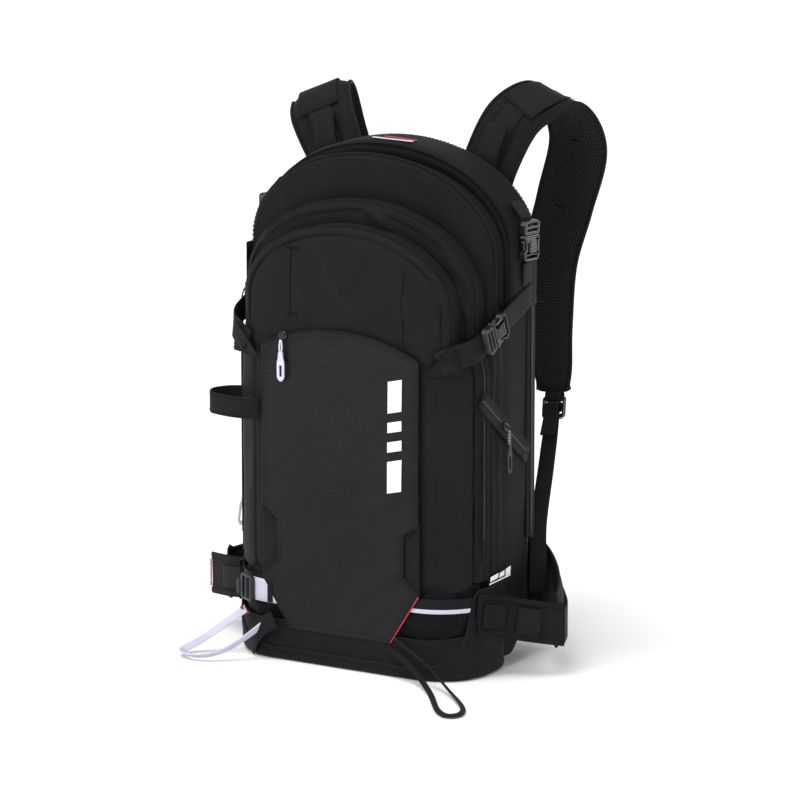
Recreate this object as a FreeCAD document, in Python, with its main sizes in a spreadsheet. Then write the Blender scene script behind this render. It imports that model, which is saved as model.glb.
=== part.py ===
"""Avalanche airbag backpack: ski pack with a folded airbag, a gas cartridge and a pull trigger.

Frame: +X is the wearer's right, +Y points from the pack towards the wearer, +Z is up.
The origin is the centre of the flat base. Everything is in millimetres.
"""

import FreeCAD, Part
import math
import os

import Sketcher

from FreeCAD import Matrix, Placement, Rotation, Vector

doc = FreeCAD.newDocument("airbag_pack")
nodes = []  # every finished sub-part, in the order they are made

# --------------------------------------------------------------------------- driving dimensions

DIMENSIONS = {
    # the packing compartments: half widths, front and back planes, tops
    "body_half": 150.0, "body_front": -2.0, "body_back": 88.0, "body_top": 548.0,
    "body_floor": 12.3, "shoulder_z": 446.0, "skin": 3.0,
    "pocket_half": 142.0, "pocket_front": -26.0, "pocket_top": 501.0, "pocket_shoulder": 404.0,
    "tool_half": 128.0, "tool_front": -58.0, "tool_top": 478.0, "tool_shoulder": 396.0,
    "pocket_floor": 96.0, "layer_gap": 0.3,
    # the airbag's arched compartment round the top
    "rim_half": 156.0, "rim_top": 558.0, "rim_inner_half": 106.0, "rim_inner_top": 504.0,
    "rim_front": 32.0, "rim_foot": 400.0, "rim_shoulder": 452.0, "rim_inner_shoulder": 402.0,
    # base
    "base_half": 150.0, "base_front": -60.0, "base_back": 50.0, "base_corner": 62.0, "base_rear_corner": 30.0,
    "base_floor": 12.0, "base_edge": 4.0, "base_wall": 4.0, "base_wall_top": 95.0,
    # coated front panel
    "panel_half": 97.0, "panel_top": 368.0, "panel_side_top": 345.0, "panel_thick": 1.4,
    "panel_taper_z": 92.0, "panel_foot_half": 62.0, "panel_foot_z": 37.0,
    "notch_depth": 18.0, "notch_top": 168.0, "notch_bottom": 96.0, "notch_slope": 15.0,
    # back panel and frame
    "door_half": 141.0, "door_top": 526.0, "door_thick": 3.0, "door_foot": 62.0,
    "sheet_half": 118.0, "sheet_low": 72.0, "sheet_high": 498.0, "sheet_thick": 1.5,
    "stay_spacing": 50.0, "stay_wide": 12.0, "stay_thick": 3.0, "stay_low": 82.0, "stay_high": 488.0,
    "pad_low": 132.0, "pad_high": 428.0, "pad_inner": 18.0, "pad_outer": 104.0, "pad_thick": 15.0,
    "lumbar_half": 96.0, "lumbar_low": 66.0, "lumbar_high": 128.0, "lumbar_thick": 20.0, "pad_round": 6.0,
    # shoulder harness
    "strap_thick": 11.0, "hinge_y": 102.0, "hinge_z": 440.0,
    # webbing and buckles
    "web_thick": 1.6, "web_wide": 25.0, "web_narrow": 20.0, "web_belt": 38.0,
    "buckle_long": 27.0, "buckle_wide": 31.0, "buckle_thick": 9.0, "buckle_wall": 2.0,
    "prong_long": 20.0, "prong_wide": 4.5, "tongue_wide": 6.0, "clip_base": 15.0, "bar_wide": 4.0,
    "lock_long": 24.0, "lock_wide": 29.0, "lock_thick": 5.0,
    # hip belt
    "wing_thick": 13.0, "wing_low": 25.0, "wing_high": 131.0, "wing_tip_high": 86.0,
    "band_low": 34.0, "band_high": 90.0, "band_thick": 3.0,
    # inflation system
    "cartridge_r": 29.0, "cartridge_long": 196.0, "neck_r": 9.0, "neck_long": 22.0,
    "valve_size": 38.0, "valve_high": 44.0, "running_gap": 0.06,
    "inflator_wide": 84.0, "inflator_deep": 44.0, "inflator_high": 60.0, "intake_r": 15.0,
    "hose_r": 4.5, "cable_r": 2.0, "cable_channel_r": 2.7, "cable_port_r": 5.5, "lever_long": 32.0, "lever_thick": 5.0,
    # zips
    "zip_wide": 6.0, "zip_thick": 1.5, "slider_long": 12.0, "slider_wide": 8.0, "slider_thick": 3.4,
    "pull_wide": 9.0, "pull_thick": 2.6,
}

sheet = doc.addObject("Spreadsheet::Sheet", "Dims")
for row, (alias, value) in enumerate(DIMENSIONS.items(), start=1):
    sheet.set(f"A{row}", alias)
    sheet.set(f"B{row}", str(value))
    sheet.setAlias(f"B{row}", alias)
doc.recompute()


def dim(alias):
    """A driving dimension, read back from the spreadsheet."""
    return float(sheet.get(alias))


# --------------------------------------------------------------------------- helpers

def keep(obj, label, placement=None):
    """Names a finished object as a sub-part, and places it."""
    doc.recompute()
    obj.Label = label
    if placement is not None:
        obj.Placement = placement
    nodes.append(obj)
    return obj


def feature(label, shape, placement=None):
    """A sub-part whose shape is computed here, for soft goods that no feature describes."""
    obj = doc.addObject("Part::Feature", label)
    obj.Shape = shape
    return keep(obj, label, placement)


def bind(obj, **expressions):
    for name, expression in expressions.items():
        if isinstance(expression, (int, float)):
            setattr(obj, name, expression)
        else:
            obj.setExpression(name, expression)


def box(name, length, width, height, at=(0, 0, 0)):
    """A Part box whose three sizes are numbers or spreadsheet expressions."""
    obj = doc.addObject("Part::Box", name)
    bind(obj, Length=length, Width=width, Height=height)
    obj.Placement = Placement(Vector(*at), Rotation())
    return obj


def cylinder(name, radius, height, at=(0, 0, 0), axis=(0, 0, 1)):
    obj = doc.addObject("Part::Cylinder", name)
    bind(obj, Radius=radius, Height=height)
    obj.Placement = Placement(Vector(*at), Rotation(Vector(0, 0, 1), Vector(*axis)))
    return obj


def cut(name, base, tool):
    obj = doc.addObject("Part::Cut", name)
    obj.Base, obj.Tool = base, tool
    return obj


def fuse(name, *shapes):
    obj = doc.addObject("Part::MultiFuse", name)
    obj.Shapes = list(shapes)
    return obj


def origin_plane(body, role):
    return next(f for f in body.Origin.OriginFeatures if f.Role == role)


def sketch_on(body, name, role, height=0.0):
    """A sketch on one of the body's own origin planes, lifted by height along its normal."""
    sketch = body.newObject("Sketcher::SketchObject", name)
    sketch.AttachmentSupport = [(origin_plane(body, role), "")]
    sketch.MapMode = "FlatFace"
    sketch.AttachmentOffset = Placement(Vector(0, 0, height), Rotation())
    return sketch


def polygon(sketch, points):
    """Closed straight outline in a sketch."""
    first = sketch.GeometryCount
    count = len(points)
    for i, (a, b) in enumerate(zip(points, points[1:] + points[:1])):
        sketch.addGeometry(Part.LineSegment(Vector(*a, 0), Vector(*b, 0)), False)
    for i in range(count):
        sketch.addConstraint(Sketcher.Constraint("Coincident", first + i, 2, first + (i + 1) % count, 1))
    return first


def rectangle(sketch, wide, high, centre=(0.0, 0.0)):
    """A rectangle centred on a point, its two sizes driven by spreadsheet expressions."""
    cx, cy = centre
    first = polygon(sketch, [(cx - 5, cy - 5), (cx + 5, cy - 5), (cx + 5, cy + 5), (cx - 5, cy + 5)])
    for line, kind in enumerate(("Horizontal", "Vertical", "Horizontal", "Vertical")):
        sketch.addConstraint(Sketcher.Constraint(kind, first + line))
    for line, expression in ((first, wide), (first + 1, high)):
        kind = "DistanceX" if line == first else "DistanceY"
        index = sketch.addConstraint(Sketcher.Constraint(kind, line, 1, line, 2, 10.0))
        sketch.setExpression(f"Constraints[{index}]", expression)
    corner_x = sketch.addConstraint(Sketcher.Constraint("DistanceX", -1, 1, first, 2, 5.0 + cx))
    corner_y = sketch.addConstraint(Sketcher.Constraint("DistanceY", -1, 1, first + 1, 2, 5.0 + cy))
    sketch.setExpression(f"Constraints[{corner_x}]", f"({wide}) / 2 + {cx}")
    sketch.setExpression(f"Constraints[{corner_y}]", f"({high}) / 2 + {cy}")
    return first


def pad(body, sketch, length, reversed_=False):
    obj = body.newObject("PartDesign::Pad", sketch.Name + "_pad")
    obj.Profile = sketch
    bind(obj, Length=length)
    obj.Reversed = reversed_
    return obj


def pocket(body, sketch, length, reversed_=False):
    """A pocket, checked to have removed material."""
    doc.recompute()
    before = body.Shape.Volume
    obj = body.newObject("PartDesign::Pocket", sketch.Name + "_pocket")
    obj.Profile = sketch
    bind(obj, Length=length)
    obj.Reversed = reversed_
    doc.recompute()
    if not body.Shape.Volume < before - 1.0:
        raise RuntimeError(f"{obj.Name} cuts nothing")
    return obj


def dressed(body, kind, size, edges):
    """A fillet or chamfer on the body's tip, on the edges that a test picks."""
    doc.recompute()
    tip = body.Tip
    names = [f"Edge{i + 1}" for i, edge in enumerate(tip.Shape.Edges) if edges(edge)]
    obj = body.newObject(f"PartDesign::{kind}", f"{tip.Name}_{kind.lower()}")
    obj.Base = (tip, names)
    bind(obj, **{"Radius" if kind == "Fillet" else "Size": size})
    return obj


def is_vertical(edge):
    tangent = edge.tangentAt(edge.FirstParameter)
    return abs(abs(tangent.z) - 1) < 1e-6


def mirrored(shape):
    """The shape's mirror image in the pack's middle plane."""
    return shape.mirror(Vector(0, 0, 0), Vector(1, 0, 0))


# --------------------------------------------------------------------------- outline functions

def arch_wire(half, foot, shoulder, top, y):
    """Upright outline: straight sides from foot to shoulder, then half an ellipse up to top."""
    centre = Vector(0, y, shoulder)
    ellipse = Part.Ellipse(centre + Vector(half, 0, 0), centre + Vector(0, 0, top - shoulder), centre)
    arc = Part.ArcOfEllipse(ellipse, 0, math.pi)
    left_foot, right_foot = Vector(-half, y, foot), Vector(half, y, foot)
    right, left = arc.StartPoint, arc.EndPoint
    edges = [
        Part.LineSegment(left_foot, right_foot).toShape(),
        Part.LineSegment(right_foot, right).toShape(),
        arc.toShape(),
        Part.LineSegment(left, left_foot).toShape(),
    ]
    return Part.Wire(edges)


def arch_solid(half, foot, shoulder, top, front, back):
    """The arch outline pushed from its front plane to its back plane."""
    face = Part.Face(arch_wire(half, foot, shoulder, top, front))
    return face.extrude(Vector(0, back - front, 0))


def arch_ring(half, foot, shoulder, top, thick, front, back):
    """A band of even thickness that follows an arch, open at its feet."""
    outer = arch_solid(half + thick, foot, shoulder, top + thick, front, back)
    inner = arch_solid(half, foot - 1, shoulder, top, front - 1, back + 1)
    return outer.cut(inner)


def tub(half, foot, shoulder, top, front, back, skin, round_by):
    """A sewn pocket: closed in front and round its edge, open towards the wearer."""
    outer = arch_solid(half, foot, shoulder, top, front, back)
    rim_edges = [
        edge for edge in outer.Edges
        if abs(edge.BoundBox.YMin - front) < 1e-6 and abs(edge.BoundBox.YMax - front) < 1e-6
        and edge.BoundBox.ZMax > foot + 1
    ]
    outer = outer.makeFillet(round_by, rim_edges)
    inner_front = front + skin + round_by * 0.3
    inner = arch_solid(half - skin - round_by * 0.3, foot + skin, shoulder,
                       top - skin - round_by * 0.3, inner_front, back + 1)
    return outer.cut(inner)


def rounded_path(points, share=0.45):
    """Straight runs joined by tangent arcs. Each arc is as large as its two runs allow."""
    points = [Vector(*p) for p in points]
    edges, radii = [], []
    start = points[0]
    for before, corner, after in zip(points, points[1:], points[2:]):
        into, out = corner - before, after - corner
        turn = into.getAngle(out)
        reach = share * min(into.Length, out.Length)
        radii.append(reach / math.tan(turn / 2))
        into.normalize()
        out.normalize()
        first, last = corner - into * reach, corner + out * reach
        inward = (out - into).normalize()
        sagitta = radii[-1] * (1 / math.cos(turn / 2) - 1)
        edges.append(Part.LineSegment(start, first).toShape())
        edges.append(Part.Arc(first, corner + inward * sagitta, last).toShape())
        start = last
    edges.append(Part.LineSegment(start, points[-1]).toShape())
    return Part.Wire(edges), radii


def tube(points, radius, name):
    """A round tube along a rounded path, its volume checked against section times length."""
    wire, radii = rounded_path(points)
    start = wire.Edges[0]
    direction = start.tangentAt(start.FirstParameter)
    circle = Part.Wire(Part.Circle(Vector(*points[0]), direction, radius).toShape())
    solid = wire.makePipeShell([circle], True, False)
    expected = math.pi * radius ** 2 * wire.Length
    print(f"{name}: {wire.Length:.0f} mm long, radii " + ", ".join(f"{r:.1f}" for r in radii))
    if abs(solid.Volume / expected - 1) > 0.02:
        raise RuntimeError(f"{name} has the wrong volume: {solid.Volume:.0f}, not {expected:.0f}")
    return solid


def plan_band(points, thick, low, high):
    """A band standing on edge: a line in plan, thickened sideways, from low to high."""
    wire, _ = rounded_path([(x, y, low) for x, y in points])
    side = Vector(0, 0, 1).cross(wire.Edges[0].tangentAt(wire.Edges[0].FirstParameter))
    start = Vector(points[0][0], points[0][1], low)
    corners = [start - side * thick / 2, start + side * thick / 2]
    corners += [corners[1] + Vector(0, 0, high - low), corners[0] + Vector(0, 0, high - low)]
    profile = Part.makePolygon(corners + corners[:1])
    return wire.makePipeShell([profile], True, False)


def spline(points, parameters):
    curve = Part.BSplineCurve()
    curve.interpolate(Points=points, Parameters=parameters)
    return curve


def ribbon(stations, thick, per_span=3):
    """A flat strap through stations of (x, y, z, width, tilt, turn), with smooth faces.

    tilt drops the outer edge and turn brings it forwards, both in degrees. The outer edge is
    the one away from the pack's middle plane.
    """
    centres = [Vector(*s[:3]) for s in stations]
    knots = [0.0]
    for a, b in zip(centres, centres[1:]):
        knots.append(knots[-1] + (b - a).Length)
    middle = spline(centres, knots)
    edge_data = spline([Vector(s[3], s[4], s[5]) for s in stations], knots)
    parameters = [knots[0]]
    for a, b in zip(knots, knots[1:]):
        parameters += [a + (b - a) * (i + 1) / per_span for i in range(per_span)]
    corners = []
    outward = 1 if stations[0][0] > 0 else -1
    for t in parameters:
        centre, along = middle.value(t), middle.tangent(t)[0]
        width, tilt, turn = edge_data.value(t)
        b, g = math.radians(tilt), math.radians(turn)
        across = Vector(outward * math.cos(b) * math.cos(g), -math.cos(b) * math.sin(g), -math.sin(b))
        across = (across - along * across.dot(along)).normalize()
        w, u = across * (width / 2), along.cross(across).normalize() * (thick / 2)
        corners.append([centre - w - u, centre + w - u, centre + w + u, centre - w + u])
    sections = [Part.makePolygon(c + c[:1]) for c in corners]
    return Part.makeLoft(sections, True, True)


# --------------------------------------------------------------------------- bag shells

def make_base_boot():
    """Reinforced boot: the flat base and the low front wall that the ski strap crosses."""
    body = doc.addObject("PartDesign::Body", "base_boot")
    centre_y = (dim("base_back") + dim("base_front")) / 2
    block = sketch_on(body, "base_outline", "XY_Plane")
    rectangle(block, "2 * Dims.base_half", "Dims.base_back - Dims.base_front", (0.0, centre_y))
    pad(body, block, "Dims.base_wall_top")
    dressed(body, "Fillet", "Dims.base_corner", lambda e: is_vertical(e) and e.BoundBox.YMax < 0)
    dressed(body, "Fillet", "Dims.base_rear_corner", lambda e: is_vertical(e) and e.BoundBox.YMin > 40)
    dressed(body, "Fillet", "Dims.base_edge", lambda e: abs(e.BoundBox.ZMax) < 1e-6)
    rear = sketch_on(body, "seat_for_the_bag", "XY_Plane", dim("base_wall_top"))
    wall_back = dim("body_front") - dim("layer_gap")
    rear_deep = dim("base_back") - wall_back + 10
    rectangle(rear, "2 * Dims.base_half + 20", "Dims.base_back - Dims.body_front + Dims.layer_gap + 10",
              (0.0, wall_back + rear_deep / 2))
    pocket(body, rear, "Dims.base_wall_top - Dims.base_floor")
    inside = sketch_on(body, "front_wall_inside", "XY_Plane", dim("base_wall_top"))
    wall = dim("base_wall")
    wide, narrow = dim("base_half") - wall - 12, dim("base_half") - dim("base_corner") + 6
    front, rear_edge = dim("base_front") + wall, wall_back - wall
    bend = front + 0.6 * dim("base_corner")
    polygon(inside, [(-wide, rear_edge), (-wide, bend), (-narrow, front), (narrow, front), (wide, bend),
                     (wide, rear_edge)])
    pocket(body, inside, "Dims.base_wall_top - Dims.base_floor")
    keep(body, "base_boot")


def rim_zone(margin):
    """The space of the airbag compartment, grown by a margin, behind the main compartment."""
    outer = arch_solid(dim("rim_half") + 20, dim("rim_foot") - margin, dim("rim_shoulder"),
                       dim("rim_top") + 20, dim("rim_front") - margin, dim("body_back") + 20)
    inner = arch_solid(dim("rim_inner_half") - margin, dim("rim_foot") - margin - 1,
                       dim("rim_inner_shoulder"), dim("rim_inner_top") - margin,
                       dim("rim_front") - margin - 1, dim("body_back") + 21)
    return outer.cut(inner)


def low_back_wedge(inset):
    """What the lumbar curve takes off below: the back slopes in from the door's foot to the base."""
    foot_y, foot_z = dim("base_back") - 3 - inset, dim("body_floor")
    head_z = dim("door_foot") + inset
    back = dim("body_back") - inset
    corners = [(foot_y, foot_z - 30), (foot_y, foot_z), (back, head_z), (back + 40, head_z), (back + 40, foot_z - 30)]
    profile = Part.makePolygon([Vector(-200, y, z) for y, z in corners + corners[:1]])
    return Part.Face(profile).extrude(Vector(400, 0, 0))


def make_main_shell():
    skin = dim("skin")
    outer = arch_solid(dim("body_half"), dim("body_floor"), dim("shoulder_z"), dim("body_top"),
                       dim("body_front"), dim("body_back"))
    inner = arch_solid(dim("body_half") - skin, dim("body_floor") + skin, dim("shoulder_z"),
                       dim("body_top") - skin, dim("body_front") + skin, dim("body_back") + 1)
    outer = outer.cut(rim_zone(0.3)).cut(low_back_wedge(0))
    inner = inner.cut(rim_zone(0.3 + skin)).cut(low_back_wedge(skin))
    feature("main_shell", outer.cut(inner))


def make_pockets():
    gap = dim("layer_gap")
    feature("front_pocket", tub(dim("pocket_half"), dim("pocket_floor"), dim("pocket_shoulder"),
                                dim("pocket_top"), dim("pocket_front"), dim("body_front") - gap, 2.0, 10.0))
    feature("tool_pocket", tub(dim("tool_half"), dim("pocket_floor"), dim("tool_shoulder"),
                               dim("tool_top"), dim("tool_front"), dim("pocket_front") - gap, 2.0, 14.0))


def make_coated_panel():
    """Coated front panel: arched top, a notch on each side for the gear loops, tapered tail."""
    half, foot_half = dim("panel_half"), dim("panel_foot_half")
    deep, slope = dim("notch_depth"), dim("notch_slope")
    top, bottom = dim("notch_top"), dim("notch_bottom")
    right = [(foot_half, dim("panel_foot_z")), (half, dim("panel_taper_z")), (half, bottom),
             (half - deep, bottom + slope), (half - deep, top - slope), (half, top),
             (half, dim("panel_side_top"))]
    y = dim("base_front") - gap_front()
    points = [Vector(x, y, z) for x, z in right]
    left = [Vector(-x, y, z) for x, z in reversed(right)]
    edges = [Part.LineSegment(a, b).toShape() for a, b in zip(points, points[1:])]
    crown = Part.Arc(points[-1], Vector(0, y, dim("panel_top")), left[0])
    edges.append(crown.toShape())
    edges += [Part.LineSegment(a, b).toShape() for a, b in zip(left, left[1:])]
    edges.append(Part.LineSegment(left[-1], points[0]).toShape())
    face = Part.Face(Part.Wire(edges))
    feature("coated_panel", face.extrude(Vector(0, -dim("panel_thick"), 0)))


def gap_front():
    """Clearance between the panel's back face and the base's front wall."""
    return dim("layer_gap")


def make_airbag_compartment():
    """Arched housing open outwards, the folded airbag in it, and the cover that tears open."""
    half, top, foot = dim("rim_half"), dim("rim_top"), dim("rim_foot")
    shoulder, inner_shoulder = dim("rim_shoulder"), dim("rim_inner_shoulder")
    inner_half, inner_top = dim("rim_inner_half"), dim("rim_inner_top")
    front, back, skin = dim("rim_front"), dim("body_back"), 2.5
    cover = 3.0

    def ring(out_by, in_by, z0, y0, y1):
        outer = arch_solid(half - out_by, z0, shoulder, top - out_by, y0, y1)
        inner = arch_solid(inner_half + in_by, z0 - 1, inner_shoulder, inner_top + in_by, y0 - 1, y1 + 1)
        return outer.cut(inner)

    housing = ring(cover, 0, foot, front, back)
    room = ring(-5, skin, foot + skin, front + skin, back - skin)
    feature("airbag_housing", housing.cut(room))
    feature("airbag", ring(cover + 0.6, skin + 0.6, foot + skin + 0.6, front + skin + 0.6, back - skin - 0.6))
    shell = arch_solid(half, foot, shoulder, top, front, back)
    under = arch_solid(half - cover + 0.3, foot - 1, shoulder, top - cover + 0.3, front - 1, back + 1)
    feature("airbag_cover", shell.cut(under))


# --------------------------------------------------------------------------- back panel and frame

def make_back_panel():
    gap = dim("layer_gap")
    y = dim("body_back") + gap
    door = arch_solid(dim("door_half"), dim("door_foot"), dim("shoulder_z") - 20,
                      dim("door_top"), y, y + dim("door_thick"))
    feature("back_door", door.cut(cable_port()))
    y += dim("door_thick") + gap

    body = doc.addObject("PartDesign::Body", "frame_sheet")
    outline = sketch_on(body, "frame_sheet_outline", "XY_Plane")
    rectangle(outline, "2 * Dims.sheet_half", "Dims.sheet_high - Dims.sheet_low")
    pad(body, outline, "Dims.sheet_thick")
    dressed(body, "Fillet", 40.0, is_vertical)
    upright = Rotation(Vector(1, 0, 0), 90)
    middle = (dim("sheet_high") + dim("sheet_low")) / 2
    grommet = sketch_on(body, "cable_grommet", "XY_Plane", dim("sheet_thick"))
    port = grommet.addGeometry(Part.Circle(Vector(CABLE_PORT[0], CABLE_PORT[1] - middle, 0), Vector(0, 0, 1), 5.0))
    radius = grommet.addConstraint(Sketcher.Constraint("Radius", port, 5.0))
    grommet.setExpression(f"Constraints[{radius}]", "Dims.cable_port_r")
    pocket(body, grommet, "Dims.sheet_thick")
    keep(body, "frame_sheet", Placement(Vector(0, y + dim("sheet_thick"), middle), upright))
    y += dim("sheet_thick") + gap

    bars = [box(f"stay_bar_{i}", "Dims.stay_wide", "Dims.stay_thick", "Dims.stay_high - Dims.stay_low",
                (side * dim("stay_spacing") - dim("stay_wide") / 2, y, dim("stay_low")))
            for i, side in enumerate((-1, 1))]
    keep(fuse("frame_stays", *bars), "frame_stays")
    y += dim("stay_thick") + gap

    pads = []
    wide = dim("pad_outer") - dim("pad_inner")
    for name, x, w, low, high, thick in (
            ("left", -dim("pad_outer"), wide, dim("pad_low"), dim("pad_high"), dim("pad_thick")),
            ("right", dim("pad_inner"), wide, dim("pad_low"), dim("pad_high"), dim("pad_thick")),
            ("lumbar", -dim("lumbar_half"), 2 * dim("lumbar_half"), dim("lumbar_low"), dim("lumbar_high"),
             dim("lumbar_thick"))):
        block = box(f"pad_block_{name}", w, thick, high - low, (x, y, low))
        doc.recompute()
        outer = [(i + 1, dim("pad_round"), dim("pad_round")) for i, edge in enumerate(block.Shape.Edges)
                 if edge.BoundBox.YMin > y + thick - 1e-6]
        rounded = doc.addObject("Part::Fillet", f"pad_{name}")
        rounded.Base = block
        rounded.Edges = outer
        pads.append(rounded)
    doc.recompute()
    keep(fuse("back_pads", *pads), "back_pads")


def make_grab_handle():
    """Haul loop at the top of the back panel."""
    wire, _ = rounded_path([(-38, 99, 488), (-38, 99, 512), (-24, 101, 532), (24, 101, 532),
                            (38, 99, 512), (38, 99, 488)])
    start = wire.Edges[0].Vertexes[0].Point
    half_wide, half_thick = 9.0, 1.4
    corners = [Vector(start.x + a * half_thick, start.y + b * half_wide - 2, start.z)
               for a, b in ((-1, -0.2), (1, -0.2), (1, 1), (-1, 1))]
    profile = Part.makePolygon(corners + corners[:1])
    feature("grab_handle", wire.makePipeShell([profile], True, False))


# --------------------------------------------------------------------------- shoulder harness

STRAP_RIGHT = [
    # x, y, z, width, tilt of the outer edge, turn of the outer edge
    (70, 104, 448, 58, 0, 0), (77, 104, 490, 64, 0, 0), (86, 107, 530, 68, 2, 0),
    (104, 130, 580, 70, 10, 0), (131, 164, 594, 71, 17, 0), (147, 188, 548, 72, 12, 0),
    (128, 194, 478, 70, 6, 0), (114, 188, 415, 67, 2, 0), (116, 181, 345, 60, 0, 0),
    (125, 175, 298, 48, 0, 0), (128, 172, 272, 38, 0, 0),
]
STRAP_LEFT = [
    (-70, 104, 448, 58, 0, 0), (-88, 104, 490, 64, 2, 0), (-108, 107, 527, 69, 6, 2),
    (-136, 124, 566, 72, 16, 12), (-154, 156, 578, 73, 24, 14), (-156, 184, 540, 72, 14, 8),
    (-138, 193, 474, 70, 6, 2), (-122, 188, 415, 67, 2, 0), (-118, 181, 345, 60, 0, 0),
    (-126, 175, 298, 48, 0, 0), (-128, 172, 272, 38, 0, 0),
]


# The release cable: up from the trigger, through the strap, and in through the back panel.
CABLE_FRONT = [(-120, 193, 350.6), (-120, 192.2, 366), (-121, 188.6, 391)]
CABLE_TAIL = [(-73, 102.5, 439), (-78, 95, 433.5), (-80.5, 86, 429), (-81, 78, 414), (-80, 72.5, 380),
              (-78, 70, 330), (-77, 69.3, 287.5)]
CABLE_PORT = (-79.0, 432.0)


def cable_wire():
    inside = [s[:3] for s in reversed(STRAP_LEFT[:8])]
    points = [Vector(*p) for p in CABLE_FRONT + inside + CABLE_TAIL]
    knots = [0.0]
    for a, b in zip(points, points[1:]):
        knots.append(knots[-1] + (b - a).Length)
    return Part.Wire(spline(points, knots).toShape())


def cable_solid(radius):
    wire = cable_wire()
    edge = wire.Edges[0]
    start, along = edge.valueAt(edge.FirstParameter), edge.tangentAt(edge.FirstParameter)
    circle = Part.Wire(Part.Circle(start, along, radius).toShape())
    return wire.makePipeShell([circle], True, False)


def cable_port():
    """Round hole through the back panel for the release cable."""
    return Part.makeCylinder(dim("cable_port_r"), 20, Vector(CABLE_PORT[0], 80, CABLE_PORT[1]), Vector(0, 1, 0))


def make_shoulder_straps():
    feature("shoulder_strap_right", ribbon(STRAP_RIGHT, dim("strap_thick")))
    left = ribbon(STRAP_LEFT, dim("strap_thick"))
    feature("shoulder_strap_left", left.cut(cable_solid(dim("cable_channel_r"))))


def ladder_lock(name):
    """Ladder-lock buckle: a frame with two slots and a raised thumb lip. Its length runs along +X."""
    body = doc.addObject("PartDesign::Body", name)
    outline = sketch_on(body, name + "_outline", "XY_Plane")
    rectangle(outline, "Dims.lock_long", "Dims.lock_wide")
    pad(body, outline, "Dims.lock_thick")
    dressed(body, "Fillet", 4.0, is_vertical)
    slots = sketch_on(body, name + "_slots", "XY_Plane", dim("lock_thick"))
    for at in (-5.2, 5.2):
        rectangle(slots, "5", "Dims.lock_wide - 6", (at, 0.0))
    pocket(body, slots, "Dims.lock_thick")
    lip = sketch_on(body, name + "_lip", "XY_Plane", dim("lock_thick"))
    rectangle(lip, "3", "Dims.lock_wide - 10", (dim("lock_long") / 2 - 2.2, 0.0))
    pad(body, lip, 3.0)
    doc.recompute()
    return body


def frame_along(origin, along, face):
    """Placement whose +X runs along a direction and whose +Z comes nearest to the face normal."""
    x = Vector(*along).normalize()
    z = Vector(*face)
    z = (z - x * z.dot(x)).normalize()
    y = z.cross(x)
    matrix = Matrix(x.x, y.x, z.x, origin[0], x.y, y.y, z.y, origin[1], x.z, y.z, z.z, origin[2], 0, 0, 0, 1)
    return Placement(matrix)


def mirror_point(point):
    return (-point[0], point[1], point[2])


# Each ladder-lock: its centre, the way its length runs, and the way its lip looks.
LOWER_LOCK = ((130.1, 166.7, 258.2), (0.14, -0.35, -0.92), (0.1, 0.94, -0.34))
UPPER_LOCKS = [((84, 97.9, 519), (0.2, 0.06, 0.97), (0.05, -1, 0.06)),
               ((-103, 97.9, 517), (-0.4, 0.06, 0.9), (-0.05, -1, 0.06))]
LOWER_WEB = [(132.0, 161.9, 245.6), (150.6, 101, 146), (155.2, 92, 100), (155.2, 90, 72)]


def flat_strap(points, wide, flat_direction):
    """Webbing along a path of runs and arcs, flat side facing roughly flat_direction."""
    wire, _ = rounded_path(points)
    edge = wire.Edges[0]
    along = edge.tangentAt(edge.FirstParameter)
    face = Vector(*flat_direction)
    face = (face - along * face.dot(along)).normalize()
    across = face.cross(along)
    start = Vector(*points[0])
    a, f = across * (wide / 2), face * (dim("web_thick") / 2)
    profile = Part.makePolygon([start - a - f, start + a - f, start + a + f, start - a + f, start - a - f])
    return wire.makePipeShell([profile], True, False)


def make_harness_hardware():
    keep(ladder_lock("lower_ladder_lock_right"), "lower_ladder_lock_right", frame_along(*LOWER_LOCK))
    keep(ladder_lock("lower_ladder_lock_left"), "lower_ladder_lock_left",
         frame_along(*[mirror_point(v) for v in LOWER_LOCK]))
    locks, webs = [], []
    for i, spec in enumerate(UPPER_LOCKS):
        one = ladder_lock(f"upper_lock_{i}")
        one.Placement = frame_along(*spec)
        doc.recompute()
        locks.append(one.Shape.copy())
        end = Vector(*spec[0]) - Vector(*spec[1]).normalize() * (dim("lock_long") / 2 + 0.8)
        webs.append(flat_strap([(end.x, 95.2, end.z - 5), (end.x, 94.4, 489.5)], dim("web_narrow"), (0, 1, 0)))
    feature("load_lifter_locks", Part.Compound(locks))
    lower = upright_web(LOWER_WEB, dim("web_narrow") - 2)
    feature("harness_webbings", Part.Compound(webs + [lower, mirrored(lower)]))


def upright_web(points, wide):
    """Webbing along a path, its flat side always upright."""
    wire, _ = rounded_path(points)
    sections = []
    for edge in wire.Edges:
        steps = 1 if isinstance(edge.Curve, Part.Line) else 4
        for i in range(steps):
            t = edge.FirstParameter + (edge.LastParameter - edge.FirstParameter) * i / steps
            sections.append((edge.valueAt(t), edge.tangentAt(t)))
    last = wire.Edges[-1]
    sections.append((last.valueAt(last.LastParameter), last.tangentAt(last.LastParameter)))
    outlines = []
    for point, along in sections:
        face = along.cross(Vector(0, 0, 1)).normalize()
        a, f = face.cross(along) * (wide / 2), face * (dim("web_thick") / 2)
        outlines.append(Part.makePolygon([point - a - f, point + a - f, point + a + f, point - a + f,
                                          point - a - f]))
    return Part.makeLoft(outlines, True, True)


# --------------------------------------------------------------------------- side-release buckles

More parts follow.
